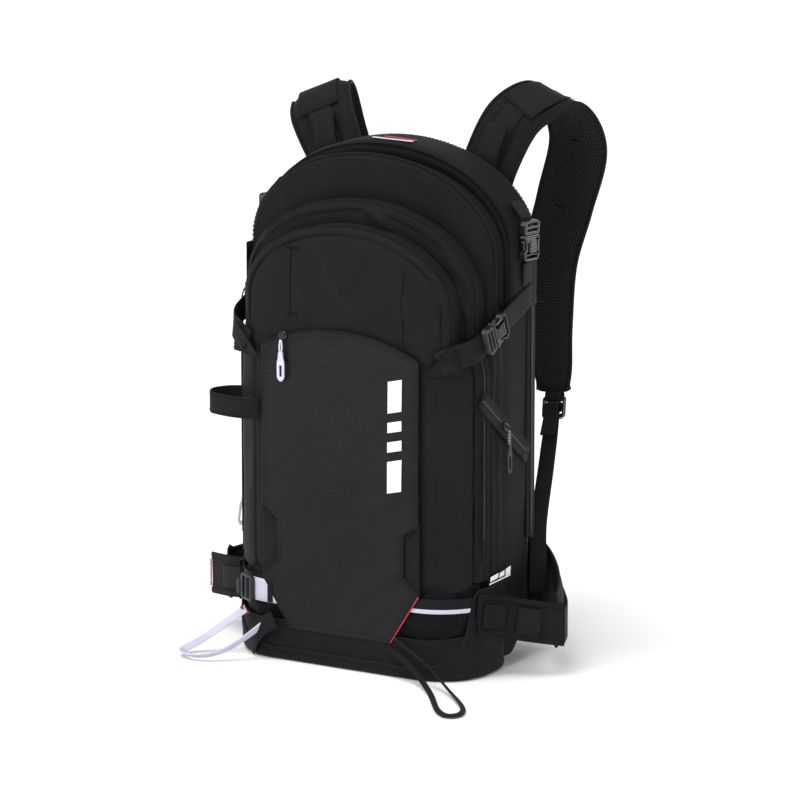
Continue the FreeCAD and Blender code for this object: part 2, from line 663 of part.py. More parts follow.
def buckle_female(name):
    """Socket of a side-release buckle. It opens towards +X and takes webbing at its -X end."""
    shell = box(name + "_shell", "Dims.buckle_long", "Dims.buckle_wide", "Dims.buckle_thick",
                (-dim("buckle_long"), -dim("buckle_wide") / 2, -dim("buckle_thick") / 2))
    wall = dim("buckle_wall")
    room = box(name + "_room", "Dims.prong_long + 1", "Dims.buckle_wide - 2 * Dims.buckle_wall",
               "Dims.buckle_thick - 2 * Dims.buckle_wall",
               (-dim("prong_long") - 0.8, -dim("buckle_wide") / 2 + wall, -dim("buckle_thick") / 2 + wall))
    window = box(name + "_window", "Dims.prong_long - 10", "Dims.buckle_wide + 4",
                 "Dims.buckle_thick - 2 * Dims.buckle_wall",
                 (-dim("prong_long") + 4, -dim("buckle_wide") / 2 - 2, -dim("buckle_thick") / 2 + wall))
    slot = box(name + "_slot", 2.6, "Dims.buckle_wide - 6", "Dims.buckle_thick + 2",
               (-dim("buckle_long") + 2, -dim("buckle_wide") / 2 + 3, -dim("buckle_thick") / 2 - 1))
    return cut(name, shell, fuse(name + "_openings", room, window, slot))


def buckle_male(name):
    """Clip of a side-release buckle: two prongs and a tongue towards -X, webbing bar at +X."""
    thick = dim("buckle_thick") - 2 * dim("buckle_wall") - 0.8
    base = box(name + "_base", "Dims.clip_base", "Dims.buckle_wide", "Dims.buckle_thick - 1",
               (0.4, -dim("buckle_wide") / 2, -dim("buckle_thick") / 2 + 0.5))
    parts = [base]
    inner = dim("buckle_wide") / 2 - dim("buckle_wall") - 0.6
    for side in (-1, 1):
        y = side * (inner - dim("prong_wide") / 2) - dim("prong_wide") / 2
        parts.append(box(f"{name}_prong_{side + 1}", "Dims.prong_long", "Dims.prong_wide", thick,
                         (-dim("prong_long") + 0.6, y, -thick / 2)))
    parts.append(box(name + "_tongue", "Dims.prong_long - 3", "Dims.tongue_wide", thick,
                     (-dim("prong_long") + 3.6, -dim("tongue_wide") / 2, -thick / 2)))
    slot = box(name + "_slot", "Dims.bar_wide", "Dims.buckle_wide - 6", "Dims.buckle_thick + 2",
               (dim("clip_base") - 2 * dim("bar_wide") + 1, -dim("buckle_wide") / 2 + 3,
                -dim("buckle_thick") / 2 - 1))
    return cut(name, fuse(name + "_solid", *parts), slot)


# Each buckle: the point between its halves, the way its clip pulls out, and its face normal.
# Left-hand ones are given as if on the right, then mirrored.
SIDE_AXIS = (0, -0.93, -0.37)
SIDE_BUCKLES = {"right": ((158.2, -11.8, 371), SIDE_AXIS, (1, 0, 0)),
                "left": ((162.2, 42, 393), SIDE_AXIS, (1, 0, 0))}
RIM_BUCKLE = ((162.2, 58, 468), (0.0, 0.05, 1), (1, 0, 0))
STERNUM_BUCKLE = ((0, 196, 378), (1, 0, 0), (0, 1, 0))
HIP_BUCKLES = {"female": ((94.5, 193.5, 52), (-1, 0.25, 0), (0.25, 1, 0)),
               "male": ((-95, 192.3, 52), (-1, -0.25, 0), (-0.25, 1, 0))}


def make_buckles():
    for side in ("right", "left"):
        for kind, spec in (("side", SIDE_BUCKLES[side]), ("rim", RIM_BUCKLE)):
            origin, along, face = spec if side == "right" else [mirror_point(v) for v in spec]
            place = frame_along(origin, along, face)
            for half, maker in (("female", buckle_female), ("male", buckle_male)):
                label = f"{kind}_buckle_{half}_{side}"
                keep(maker(label), label, place)
    place = frame_along(*STERNUM_BUCKLE)
    keep(buckle_female("sternum_buckle_female"), "sternum_buckle_female", place)
    keep(buckle_male("sternum_buckle_male"), "sternum_buckle_male", place)
    keep(buckle_female("hip_buckle_female"), "hip_buckle_female", frame_along(*HIP_BUCKLES["female"]))
    keep(buckle_male("hip_buckle_male"), "hip_buckle_male", frame_along(*HIP_BUCKLES["male"]))


def make_side_webbing():
    """Webbing that stays with the pack: compression straps and the strips at the rim buckles."""
    wide, narrow, flat = dim("web_wide") - 2, dim("web_narrow") - 2, (1, 0, 0)
    right = [
        upright_web([(131.5, -49, 351), (146, -38, 356), (151.2, -23, 362)], wide),
        upright_web([(157.6, 14.6, 381.6), (156.9, 40, 391), (157.4, 68, 401), (157.4, 86.5, 406)], wide),
    ]
    left = [
        upright_web([(131.5, -49, 351), (146, -38, 356), (153.2, -20, 362), (153.4, 10, 374), (155.8, 26, 381.5)],
                    wide),
        upright_web([(161.8, 68.4, 404), (158.4, 78, 407.5), (157.6, 87.5, 410)], wide),
    ]
    rim = [
        flat_strap([(161.0, 57, 437), (158.4, 59, 429), (157.6, 61, 419.5)], narrow, flat),
        flat_strap([(157.0, 59.4, 484.4), (150.5, 59.6, 493), (141.5, 60, 503)], narrow, flat),
    ]
    feature("side_webbings", Part.Compound(right + rim + [mirrored(s) for s in left + rim]))


def make_sternum_strap():
    """Two webbings that run from the shoulder straps to the sternum buckle."""
    wide = dim("web_narrow")
    feature("sternum_webbing_right", flat_strap([(17.5, 196, 378), (60, 198.4, 378), (116, 192.8, 378)], wide, (0, 1, 0)))
    feature("sternum_webbing_left", flat_strap([(-28.5, 196, 378), (-64, 198.4, 378), (-112, 193.2, 378)], wide, (0, 1, 0)))


# --------------------------------------------------------------------------- hip belt

WING_PLAN = [(104, 123), (146, 119.5), (172, 102), (192, 72), (206, 42)]


def make_hip_belt():
    wing = plan_band(WING_PLAN, dim("wing_thick"), dim("wing_low"), dim("wing_high"))
    low, high, tip = dim("wing_low"), dim("wing_high"), dim("wing_tip_high")
    a, b, c = Vector(118, 0, high + 1), Vector(163, 0, 108), Vector(192, 0, tip)
    trim_edges = [Part.Arc(a, b, c).toShape(),
                  Part.LineSegment(c, Vector(260, 0, tip)).toShape(),
                  Part.LineSegment(Vector(260, 0, tip), Vector(260, 0, high + 1)).toShape(),
                  Part.LineSegment(Vector(260, 0, high + 1), a).toShape()]
    trim = Part.Face(Part.Wire(trim_edges)).extrude(Vector(0, 200, 0))
    wing = wing.cut(trim)
    feature("hip_wing_right", wing)
    feature("hip_wing_left", mirrored(wing))

    band = plan_band([(148.6, -22), (154.2, -3), (186, 12), (221, 33)], dim("band_thick"), dim("band_low"), dim("band_high"))
    feature("stabilisers", Part.Compound([band, mirrored(band)]))

    belt_low, belt_high = 52 - dim("web_belt") / 2, 52 + dim("web_belt") / 2
    right = plan_band([(213.6, 45.6), (200, 76.2), (179, 108.6), (162, 133), (145, 158), (122, 186.5)], dim("web_thick"), belt_low, belt_high)
    left = plan_band([(-213.6, 45.6), (-200, 76.2), (-179, 108.6), (-161, 134), (-141, 160), (-112, 186.8)], dim("web_thick"), belt_low, belt_high)
    feature("hip_webbing_right", right)
    feature("hip_webbing_left", left)


# --------------------------------------------------------------------------- loops and ski carry

def make_ski_loop():
    """Wide webbing loop on the left front edge that holds a ski or a pole."""
    points = [(-99, -63), (-132, -66), (-164, -58), (-172, -38), (-160, -19), (-146, -14)]
    feature("ski_loop", plan_band(points, 2.0, 262, 284))


CARRY_LOOP = [(-121, -57.5, 50), (-142, -64, 33), (-166, -76, 13), (-179, -90, 5), (-173, -106, 5),
              (-152, -112, 5), (-130, -102, 8), (-110, -84, 21), (-94, -67, 38)]
AXE_LOOP = [(70, -64, 44), (83, -66, 37.5), (98, -68.5, 31), (114, -72, 24), (132, -79, 14), (152, -91, 6),
            (170, -106, 3.3), (187, -124, 3.2), (201, -143, 3.2), (206, -160, 3.2), (196, -171, 3.2),
            (180, -160, 3.2), (162, -137, 3.2), (144, -112, 3.3), (124, -90, 5.5), (104, -75.5, 13),
            (87, -69, 22), (73, -66, 29), (60, -64.2, 33)]


def make_ski_carry():
    """Diagonal ski carry: the strap round the low corners, its buckle and the two ground loops."""
    corner_x, corner_y = dim("base_half") - dim("base_corner"), dim("base_front") + dim("base_corner")
    thick = dim("web_thick") / 2

    def round_corner(radius, degrees):
        turn = math.radians(degrees)
        return corner_x + radius * math.sin(turn), corner_y - radius * math.cos(turn)

    def band(start, end, low, high):
        middle = dim("base_corner") + 0.3 + thick
        rows = [[round_corner(middle + side * thick, angle) for angle in (start, (start + end) / 2, end)]
                for side in (-1, 1)]
        inner, outer = [[Vector(x, y, low) for x, y in row] for row in rows]
        outline = Part.Wire([
            Part.Arc(*inner).toShape(), Part.LineSegment(inner[2], outer[2]).toShape(),
            Part.Arc(*reversed(outer)).toShape(), Part.LineSegment(outer[0], inner[0]).toShape(),
        ])
        return Part.Face(outline).extrude(Vector(0, 0, high - low))

    strap_start, lock_at, lock_reach = 7.5, 28.5, 11.5
    right = band(strap_start, 60, 73.5, 79.5)
    left = mirrored(band(strap_start, lock_at - lock_reach, 62, 87))
    feature("ski_carry_strap", Part.Compound([right, left]))
    feature("ski_carry_loop", tube(CARRY_LOOP, 4.0, "ski_carry_loop"))
    feature("ice_axe_loop", tube(AXE_LOOP, 3.0, "ice_axe_loop"))
    x, y = round_corner(dim("base_corner") + 1.5, lock_at)
    along = (-math.cos(math.radians(lock_at)), math.sin(math.radians(lock_at)), 0)
    facing = (-math.sin(math.radians(lock_at)), -math.cos(math.radians(lock_at)), 0)
    keep(ladder_lock("ski_carry_lock"), "ski_carry_lock", frame_along((-x, y, 74), along, facing))


# --------------------------------------------------------------------------- zips

SIDE_ZIP_ANGLE = -38.0
MAIN_ZIP_Y = -1.5


def make_zips():
    """Zip chains: arched ones on three compartments, upright ones on the back, a slanted one."""
    wide, thick, gap = dim("zip_wide"), dim("zip_thick"), dim("layer_gap")
    half, side = dim("body_half") + gap, dim("pocket_half") + gap
    main = arch_ring(half, 320, dim("shoulder_z"), dim("body_top") + gap, thick, MAIN_ZIP_Y, MAIN_ZIP_Y + wide)
    left_run = Part.makeBox(thick, wide, 170, Vector(-half - thick, MAIN_ZIP_Y, 150))
    chains = [
        main.fuse(left_run).removeSplitter(),
        arch_ring(side, 250, dim("pocket_shoulder"), dim("pocket_top") + gap, thick, -13, -13 + wide),
        arch_ring(dim("tool_half") + gap, 250, dim("tool_shoulder"), dim("tool_top") + gap, thick, -40, -40 + wide),
    ]
    upright = Part.makeBox(thick, wide, 257, Vector(half, 79.5, 135))
    slanted = Part.makeBox(thick, 118, wide)
    slanted.Placement = Placement(Vector(half, -22, 300), Rotation(Vector(1, 0, 0), SIDE_ZIP_ANGLE))
    feature("zipper_chains", Part.Compound(chains + [upright, mirrored(upright), slanted]))


def side_zip_frame(along):
    """Point on the slanted zip's middle line, a distance along it from its upper front end."""
    a = math.radians(SIDE_ZIP_ANGLE)
    mid = dim("zip_wide") / 2
    return (dim("body_half") + 0.3 + dim("zip_thick") + 0.2,
            -22 + along * math.cos(a) - mid * math.sin(a),
            300 + along * math.sin(a) + mid * math.cos(a))


def slider(name):
    """Zip slider: a wedge-shaped block with a bridge. It runs along +X."""
    body = doc.addObject("PartDesign::Body", name)
    outline = sketch_on(body, name + "_outline", "XY_Plane")
    long, wide = dim("slider_long") / 2, dim("slider_wide") / 2
    polygon(outline, [(-long, -wide * 0.6), (long * 0.6, -wide), (long, -wide * 0.5),
                      (long, wide * 0.5), (long * 0.6, wide), (-long, wide * 0.6)])
    pad(body, outline, "Dims.slider_thick")
    bridge = sketch_on(body, name + "_bridge", "XY_Plane", dim("slider_thick"))
    rectangle(bridge, "5", "2.4", (-1.0, 0.0))
    pad(body, bridge, 1.6)
    doc.recompute()
    return body


def pull_tab(name, long):
    """Zip pull: a stem with a finger tab that has a slot. It hangs along -Y from its pivot."""
    body = doc.addObject("PartDesign::Body", name)
    outline = sketch_on(body, name + "_outline", "XY_Plane")
    half, stem = dim("pull_wide") / 2, 1.6
    neck = -long * 0.38
    polygon(outline, [(-stem, 0), (stem, 0), (stem, neck), (half, neck - 5), (half, -long + 4),
                      (half - 3, -long), (3 - half, -long), (-half, -long + 4), (-half, neck - 5),
                      (-stem, neck)])
    pad(body, outline, "Dims.pull_thick")
    slot = sketch_on(body, name + "_slot", "XY_Plane", dim("pull_thick"))
    rectangle(slot, "Dims.pull_wide - 6", str(long * 0.28), (0.0, -long * 0.66))
    pocket(body, slot, "Dims.pull_thick")
    return body


def seam_point(x):
    """Point on the coated panel's arched top seam, and the seam's tangent there."""
    half, rise = dim("panel_half"), dim("panel_top") - dim("panel_side_top")
    r = (half ** 2 + rise ** 2) / (2 * rise)
    centre_z = dim("panel_top") - r
    up = math.sqrt(r ** 2 - x ** 2)
    print(f"panel seam: radius {r:.1f} about z {centre_z:.2f}, height {centre_z + up:.2f} at x {x}")
    return centre_z + up, (up / r, 0, -x / r)


def make_sliders_and_pulls():
    """Each zip slider, and the tab that hangs from its bridge."""
    a = math.radians(SIDE_ZIP_ANGLE)
    side_at = side_zip_frame(58.0)
    seam_x = -69.0
    seam_z, seam_along = seam_point(seam_x)
    panel_y = dim("base_front") - dim("layer_gap") - dim("panel_thick") - 0.3
    main_x = -(dim("body_half") + dim("layer_gap") + dim("zip_thick") + 0.3)
    main_y = MAIN_ZIP_Y + dim("zip_wide") / 2
    lift, drop = dim("slider_thick") + 1.9, 5.0
    sliders = [
        ("side_pocket", side_at, (0, math.cos(a), math.sin(a)), (1, 0, 0), 46),
        ("tool_pocket", (seam_x, panel_y, seam_z), seam_along, (0, -1, 0), 44),
        ("main_zip_upper", (main_x, main_y, 392), (0, 0, 1), (-1, 0, 0), 46),
        ("main_zip_lower", (main_x, main_y, 179), (0, 0, -1), (-1, 0, 0), 50),
    ]
    for name, at, along, face, long in sliders:
        keep(slider(name + "_slider"), name + "_slider", frame_along(at, along, face))
        pivot = Vector(*at) + Vector(*face) * lift - Vector(0, 0, drop)
        across = Vector(*face).cross(Vector(0, 0, 1)) * -1
        keep(pull_tab(name + "_pull", long), name + "_pull", frame_along(tuple(pivot), tuple(across), face))
        print(f"{name}: slider at {tuple(round(v, 2) for v in at)}, pull from {tuple(round(v, 2) for v in pivot)}")


# --------------------------------------------------------------------------- inflation system

CARTRIDGE_AT = (-100.0, 42.0)
CARTRIDGE_FOOT = 52.0


def make_inflation_system():
    x, y = CARTRIDGE_AT
    r, long = dim("cartridge_r"), dim("cartridge_long")
    body = doc.addObject("PartDesign::Body", "gas_cartridge")
    profile = sketch_on(body, "cartridge_profile", "XZ_Plane")
    neck, top = dim("neck_r"), long + dim("neck_long")
    polygon(profile, [(0, 0), (r * 0.55, 0), (r * 0.86, 6), (r, 22), (r, long - 30), (r * 0.82, long - 12),
                      (neck, long), (neck, top), (0, top)])
    turned = body.newObject("PartDesign::Revolution", "cartridge_turned")
    turned.Profile = profile
    turned.ReferenceAxis = (profile, ["V_Axis"])
    turned.Angle = 360.0
    doc.recompute()
    keep(body, "gas_cartridge", Placement(Vector(x, y, CARTRIDGE_FOOT), Rotation()))

    size, high = dim("valve_size"), dim("valve_high")
    seat = CARTRIDGE_FOOT + long + 2
    block = box("valve_block", "Dims.valve_size", "Dims.valve_size", "Dims.valve_high",
                (x - size / 2, y - size / 2, seat))
    pivot_z, face_y = seat + high - 14, y + size / 2
    pin = cylinder("lever_pin", 2.5, 8.0, (x, face_y - 1, pivot_z), (0, 1, 0))
    bore = cylinder("valve_bore", "Dims.neck_r + Dims.running_gap", "Dims.neck_long", (x, y, seat - 1))
    keep(cut("valve_head", fuse("valve_solid", block, pin), bore), "valve_head")

    arm = box("lever_arm", "Dims.lever_long", "Dims.lever_thick", 9, (x - 5, face_y + 0.6, pivot_z - 4.5))
    pin_hole = cylinder("lever_pin_hole", "2.5 + Dims.running_gap", 20, (x, face_y - 5, pivot_z), (0, 1, 0))
    eye = cylinder("lever_eye", 2.4, 20, (x + dim("lever_long") - 9, face_y - 5, pivot_z), (0, 1, 0))
    keep(cut("release_lever", arm, fuse("lever_holes", pin_hole, eye)), "release_lever")

    base_z = 400.0
    case = box("inflator_case", "Dims.inflator_wide", "Dims.inflator_deep", "Dims.inflator_high",
               (-dim("inflator_wide") / 2, 40, base_z))
    intake = cylinder("inflator_intake", "Dims.intake_r", 30, (0, 30, base_z + 28), (0, 1, 0))
    keep(cut("inflation_unit", case, intake), "inflation_unit")
    hose = tube([(x, y, seat + high + 0.3), (x, y, seat + high + 44), (x + 14, y + 6, base_z - 16),
                 (-26, 62, base_z - 40), (-22, 62, base_z - 0.3)], dim("hose_r"), "gas_hose")
    feature("gas_hose", hose)
    feature("trigger_cable", cable_solid(dim("cable_r")))


def make_trigger_handle():
    """T-shaped grip on the left shoulder strap. It pulls straight down."""
    grip = cylinder("trigger_grip", 8.0, 62.0, (-151, 193, 322), (1, 0, 0))
    stem = cylinder("trigger_stem", 4.0, 28.0, (-120, 193, 322), (0, 0, 1))
    keep(fuse("trigger_handle", grip, stem), "trigger_handle")


# --------------------------------------------------------------------------- build and write

def check_document():
    """Stops on any failed object and on any sub-part that isn't made of valid solids."""
    doc.recompute()
    for obj in doc.Objects:
        if "Invalid" in obj.State or "Error" in obj.State:
            raise RuntimeError(f"{obj.Name} failed: {obj.State}")
    labels = [obj.Label for obj in nodes]
    if len(set(labels)) != len(labels):
        raise RuntimeError("two sub-parts share a name")
    for obj in nodes:
        shape = obj.Shape
        if shape.isNull() or not shape.isValid() or not shape.Solids or shape.Volume <= 0:
            raise RuntimeError(f"{obj.Label} is not a valid solid")


def main():
    make_base_boot()
    make_main_shell()
    make_pockets()
    make_coated_panel()
    make_airbag_compartment()
    make_back_panel()
    make_grab_handle()
    make_shoulder_straps()
    make_harness_hardware()
    make_buckles()
    make_side_webbing()
    make_sternum_strap()
    make_hip_belt()
    make_ski_loop()
    make_ski_carry()
    make_zips()
    make_sliders_and_pulls()
    make_inflation_system()
    make_trigger_handle()
    check_document()
    os.makedirs("parts", exist_ok=True)
    for obj in nodes:
        obj.Shape.exportStep(os.path.join("parts", obj.Label + ".step"))
    print(f"{len(nodes)} sub-parts written")


main()
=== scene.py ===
"""Looks of the airbag backpack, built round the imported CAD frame. Sizes here are in millimetres."""

import math

import bmesh
import bpy
import numpy as np
from mathutils import Matrix, Vector, bvhtree, noise


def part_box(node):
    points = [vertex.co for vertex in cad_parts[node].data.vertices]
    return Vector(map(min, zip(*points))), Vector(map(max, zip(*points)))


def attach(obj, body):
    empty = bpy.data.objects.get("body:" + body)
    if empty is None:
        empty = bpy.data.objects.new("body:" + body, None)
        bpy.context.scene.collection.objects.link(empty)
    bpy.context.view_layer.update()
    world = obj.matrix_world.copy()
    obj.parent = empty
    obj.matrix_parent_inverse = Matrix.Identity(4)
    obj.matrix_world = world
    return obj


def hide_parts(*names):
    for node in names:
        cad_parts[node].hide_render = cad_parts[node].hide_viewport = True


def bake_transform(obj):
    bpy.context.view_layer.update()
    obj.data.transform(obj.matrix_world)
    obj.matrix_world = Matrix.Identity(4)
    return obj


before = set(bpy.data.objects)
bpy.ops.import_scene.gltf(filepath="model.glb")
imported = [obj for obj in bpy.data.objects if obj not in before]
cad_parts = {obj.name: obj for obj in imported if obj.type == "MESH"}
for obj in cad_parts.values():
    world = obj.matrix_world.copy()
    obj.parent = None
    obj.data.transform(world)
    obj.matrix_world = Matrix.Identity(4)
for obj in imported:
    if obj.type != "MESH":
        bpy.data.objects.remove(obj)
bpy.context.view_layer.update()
MM = 0.001


# ------------------------------------------------------------------ materials

class Nodes:
    """A short way to write a node tree."""

    def __init__(self, name):
        self.mat = bpy.data.materials.new(name)
        self.mat.use_nodes = True
        self.tree = self.mat.node_tree
        self.bsdf = self.tree.nodes["Principled BSDF"]

    def add(self, kind, **values):
        node = self.tree.nodes.new(kind)
        for key, value in values.items():
            if hasattr(node, key):
                setattr(node, key, value)
            else:
                node.inputs[key.replace("_", " ")].default_value = value
        return node

    def link(self, a, b):
        self.tree.links.new(a, b)

    def math(self, operation, a, b=None):
        node = self.tree.nodes.new("ShaderNodeMath")
        node.operation = operation
        for socket, value in zip(node.inputs, (a, b)):
            if value is None:
                continue
            if isinstance(value, (int, float)):
                socket.default_value = value
            else:
                self.link(value, socket)
        return node.outputs[0]

    def shader(self, **values):
        for key, value in values.items():
            self.bsdf.inputs[key.replace("_", " ")].default_value = value

    def coords(self, kind="Object"):
        return self.tree.nodes.new("ShaderNodeTexCoord").outputs[kind]

    def split(self, vector):
        node = self.tree.nodes.new("ShaderNodeSeparateXYZ")
        self.link(vector, node.inputs[0])
        return node.outputs

    def noise(self, vector, scale, detail=3.0):
        node = self.add("ShaderNodeTexNoise", Scale=scale, Detail=detail, Roughness=0.55)
        self.link(vector, node.inputs["Vector"])
        return node.outputs["Fac"]

    def sine(self, value, period):
        """A wave between -1 and 1 with a period in metres."""
        return self.math("SINE", self.math("MULTIPLY", value, 2 * math.pi / period))

    def colour(self, fac, dark, light):
        ramp = self.add("ShaderNodeValToRGB")
        ramp.color_ramp.elements[0].color = (*dark, 1)
        ramp.color_ramp.elements[1].color = (*light, 1)
        ramp.color_ramp.elements[0].position = 0.3
        ramp.color_ramp.elements[1].position = 0.7
        self.link(fac, ramp.inputs[0])
        self.link(ramp.outputs[0], self.bsdf.inputs["Base Color"])

    def rough(self, fac, low, high):
        node = self.add("ShaderNodeMapRange")
        node.inputs["To Min"].default_value = low
        node.inputs["To Max"].default_value = high
        self.link(fac, node.inputs["Value"])
        self.link(node.outputs[0], self.bsdf.inputs["Roughness"])

    def bump(self, height, distance):
        node = self.add("ShaderNodeBump", Strength=1.0, Distance=distance)
        self.link(height, node.inputs["Height"])
        self.link(node.outputs[0], self.bsdf.inputs["Normal"])


def woven(name, dark, light, period=1.1, grid=0.0, sheen=0.25, depth=0.12):
    """Nylon: over-and-under threads, faint slubs, and a ripstop grid where grid is its pitch."""
    n = Nodes(name)
    xyz = n.split(n.coords())
    across = n.math("ADD", xyz[0], xyz[1])
    weave = n.math("MULTIPLY", n.sine(across, period * MM), n.sine(xyz[2], period * MM))
    large = n.noise(n.coords(), 9.0, 4.0)
    height = n.math("ADD", n.math("MULTIPLY", weave, 0.5), n.math("MULTIPLY", n.noise(n.coords(), 900.0),
                                                                  0.6))
    if grid:
        lines = n.math("MAXIMUM", n.sine(across, grid * MM), n.sine(xyz[2], grid * MM))
        rib = n.math("MULTIPLY", n.math("GREATER_THAN", lines, 0.9), 0.9)
        height = n.math("ADD", height, rib)
    n.bump(height, depth * MM)
    n.colour(large, dark, light)
    n.rough(large, 0.55, 0.72)
    n.shader(Sheen_Weight=sheen * 0.12, Sheen_Roughness=0.4, Specular_IOR_Level=0.1)
    return n.mat


def coated():
    """Coated panel fabric: fine level grain, and a soft sheen that comes and goes."""
    n = Nodes("coated_fabric")
    at = n.coords()
    xyz = n.split(at)
    grain = n.math("MULTIPLY", n.sine(xyz[2], 2.1 * MM), 0.5)
    slub = n.add("ShaderNodeMapping")
    slub.inputs["Scale"].default_value = (60, 60, 900)
    n.link(at, slub.inputs["Vector"])
    streaks = n.noise(slub.outputs[0], 1.0, 2.0)
    n.bump(n.math("ADD", grain, n.math("MULTIPLY", streaks, 1.6)), 0.11 * MM)
    large = n.noise(at, 7.0, 3.0)
    n.colour(large, (0.0052, 0.0052, 0.0063), (0.0085, 0.0085, 0.0099))
    n.rough(large, 0.40, 0.5)
    n.shader(Sheen_Weight=0.02, Sheen_Roughness=0.4, Specular_IOR_Level=0.16)
    return n.mat


def ribbed(name, dark, light, sheen=0.3):
    """Webbing: cords along its length, picks across it. It reads the strap's own length and width."""
    n = Nodes(name)
    along, across = 1.6, 1.25
    uv = n.split(n.coords("UV"))
    cords = n.math("ABSOLUTE", n.sine(uv[1], 2 * across * MM))
    picks = n.sine(n.math("ADD", uv[0], n.math("MULTIPLY", cords, 0.0004)), along * MM)
    large = n.noise(n.coords(), 30.0, 3.0)
    n.bump(n.math("ADD", cords, n.math("MULTIPLY", picks, 0.45)), 0.25 * MM)
    n.colour(large, dark, light)
    n.rough(large, 0.6, 0.75)
    n.shader(Sheen_Weight=sheen * 0.12, Sheen_Roughness=0.4, Specular_IOR_Level=0.12)
    return n.mat


def moulded(name, dark, light, rough=(0.24, 0.34), grain=0.04, coat=0.0):
    """Moulded plastic or rubber with a fine grain."""
    n = Nodes(name)
    at = n.coords()
    large = n.noise(at, 45.0, 3.0)
    n.bump(n.noise(at, 1500.0, 2.0), grain * MM)
    n.colour(large, dark, light)
    n.rough(large, *rough)
    n.shader(Coat_Weight=coat, Coat_Roughness=0.15, Specular_IOR_Level=0.4)
    return n.mat


def metal(name, dark, light, rough=(0.3, 0.42), metallic=1.0):
    """Brushed metal, or lacquer on it where metallic is below 1."""
    n = Nodes(name)
    at = n.coords()
    brushed = n.add("ShaderNodeMapping")
    brushed.inputs["Scale"].default_value = (500, 500, 30)
    n.link(at, brushed.inputs["Vector"])
    marks = n.noise(brushed.outputs[0], 1.0, 3.0)
    n.bump(marks, 0.03 * MM)
    n.colour(n.noise(at, 20.0), dark, light)
    n.rough(marks, *rough)
    n.shader(Metallic=metallic)
    return n.mat


def speckled():
    """Round cord in black with white flecks."""
    n = Nodes("speckled_cord")
    uv = n.split(n.coords("UV"))
    fleck = n.math("MULTIPLY", n.sine(uv[0], 3.4 * MM), n.sine(uv[1], 2.6 * MM))
    n.colour(n.math("MULTIPLY", n.math("ADD", fleck, 0.6), 0.6), (0.016, 0.016, 0.017), (0.5, 0.5, 0.53))
    n.bump(fleck, 0.2 * MM)
    n.shader(Roughness=0.6)
    return n.mat


def spacer_mesh():
    """Breathable mesh: rows of small round holes over foam."""
    n = Nodes("spacer_mesh")
    uv = n.split(n.coords("UV"))
    pitch = 3.4 * MM
    a = n.sine(uv[0], pitch)
    b = n.sine(n.math("ADD", n.math("MULTIPLY", uv[1], 0.866), n.math("MULTIPLY", uv[0], 0.5)), pitch)
    c = n.sine(n.math("SUBTRACT", n.math("MULTIPLY", uv[1], 0.866), n.math("MULTIPLY", uv[0], 0.5)), pitch)
    holes = n.math("MULTIPLY", n.math("ADD", n.math("ADD", a, b), c), 0.4)
    n.bump(n.math("MULTIPLY", holes, -1.0), 0.7 * MM)
    # painted shade: the holes are coloured several times darker than the mesh between them, as shade in the
    # recesses
    n.colour(n.math("MULTIPLY", n.math("ADD", holes, 1.0), 0.5), (0.013, 0.013, 0.015),
             (0.0025, 0.0025, 0.003))
    n.shader(Roughness=0.8, Sheen_Weight=0.03, Specular_IOR_Level=0.15)
    return n.mat


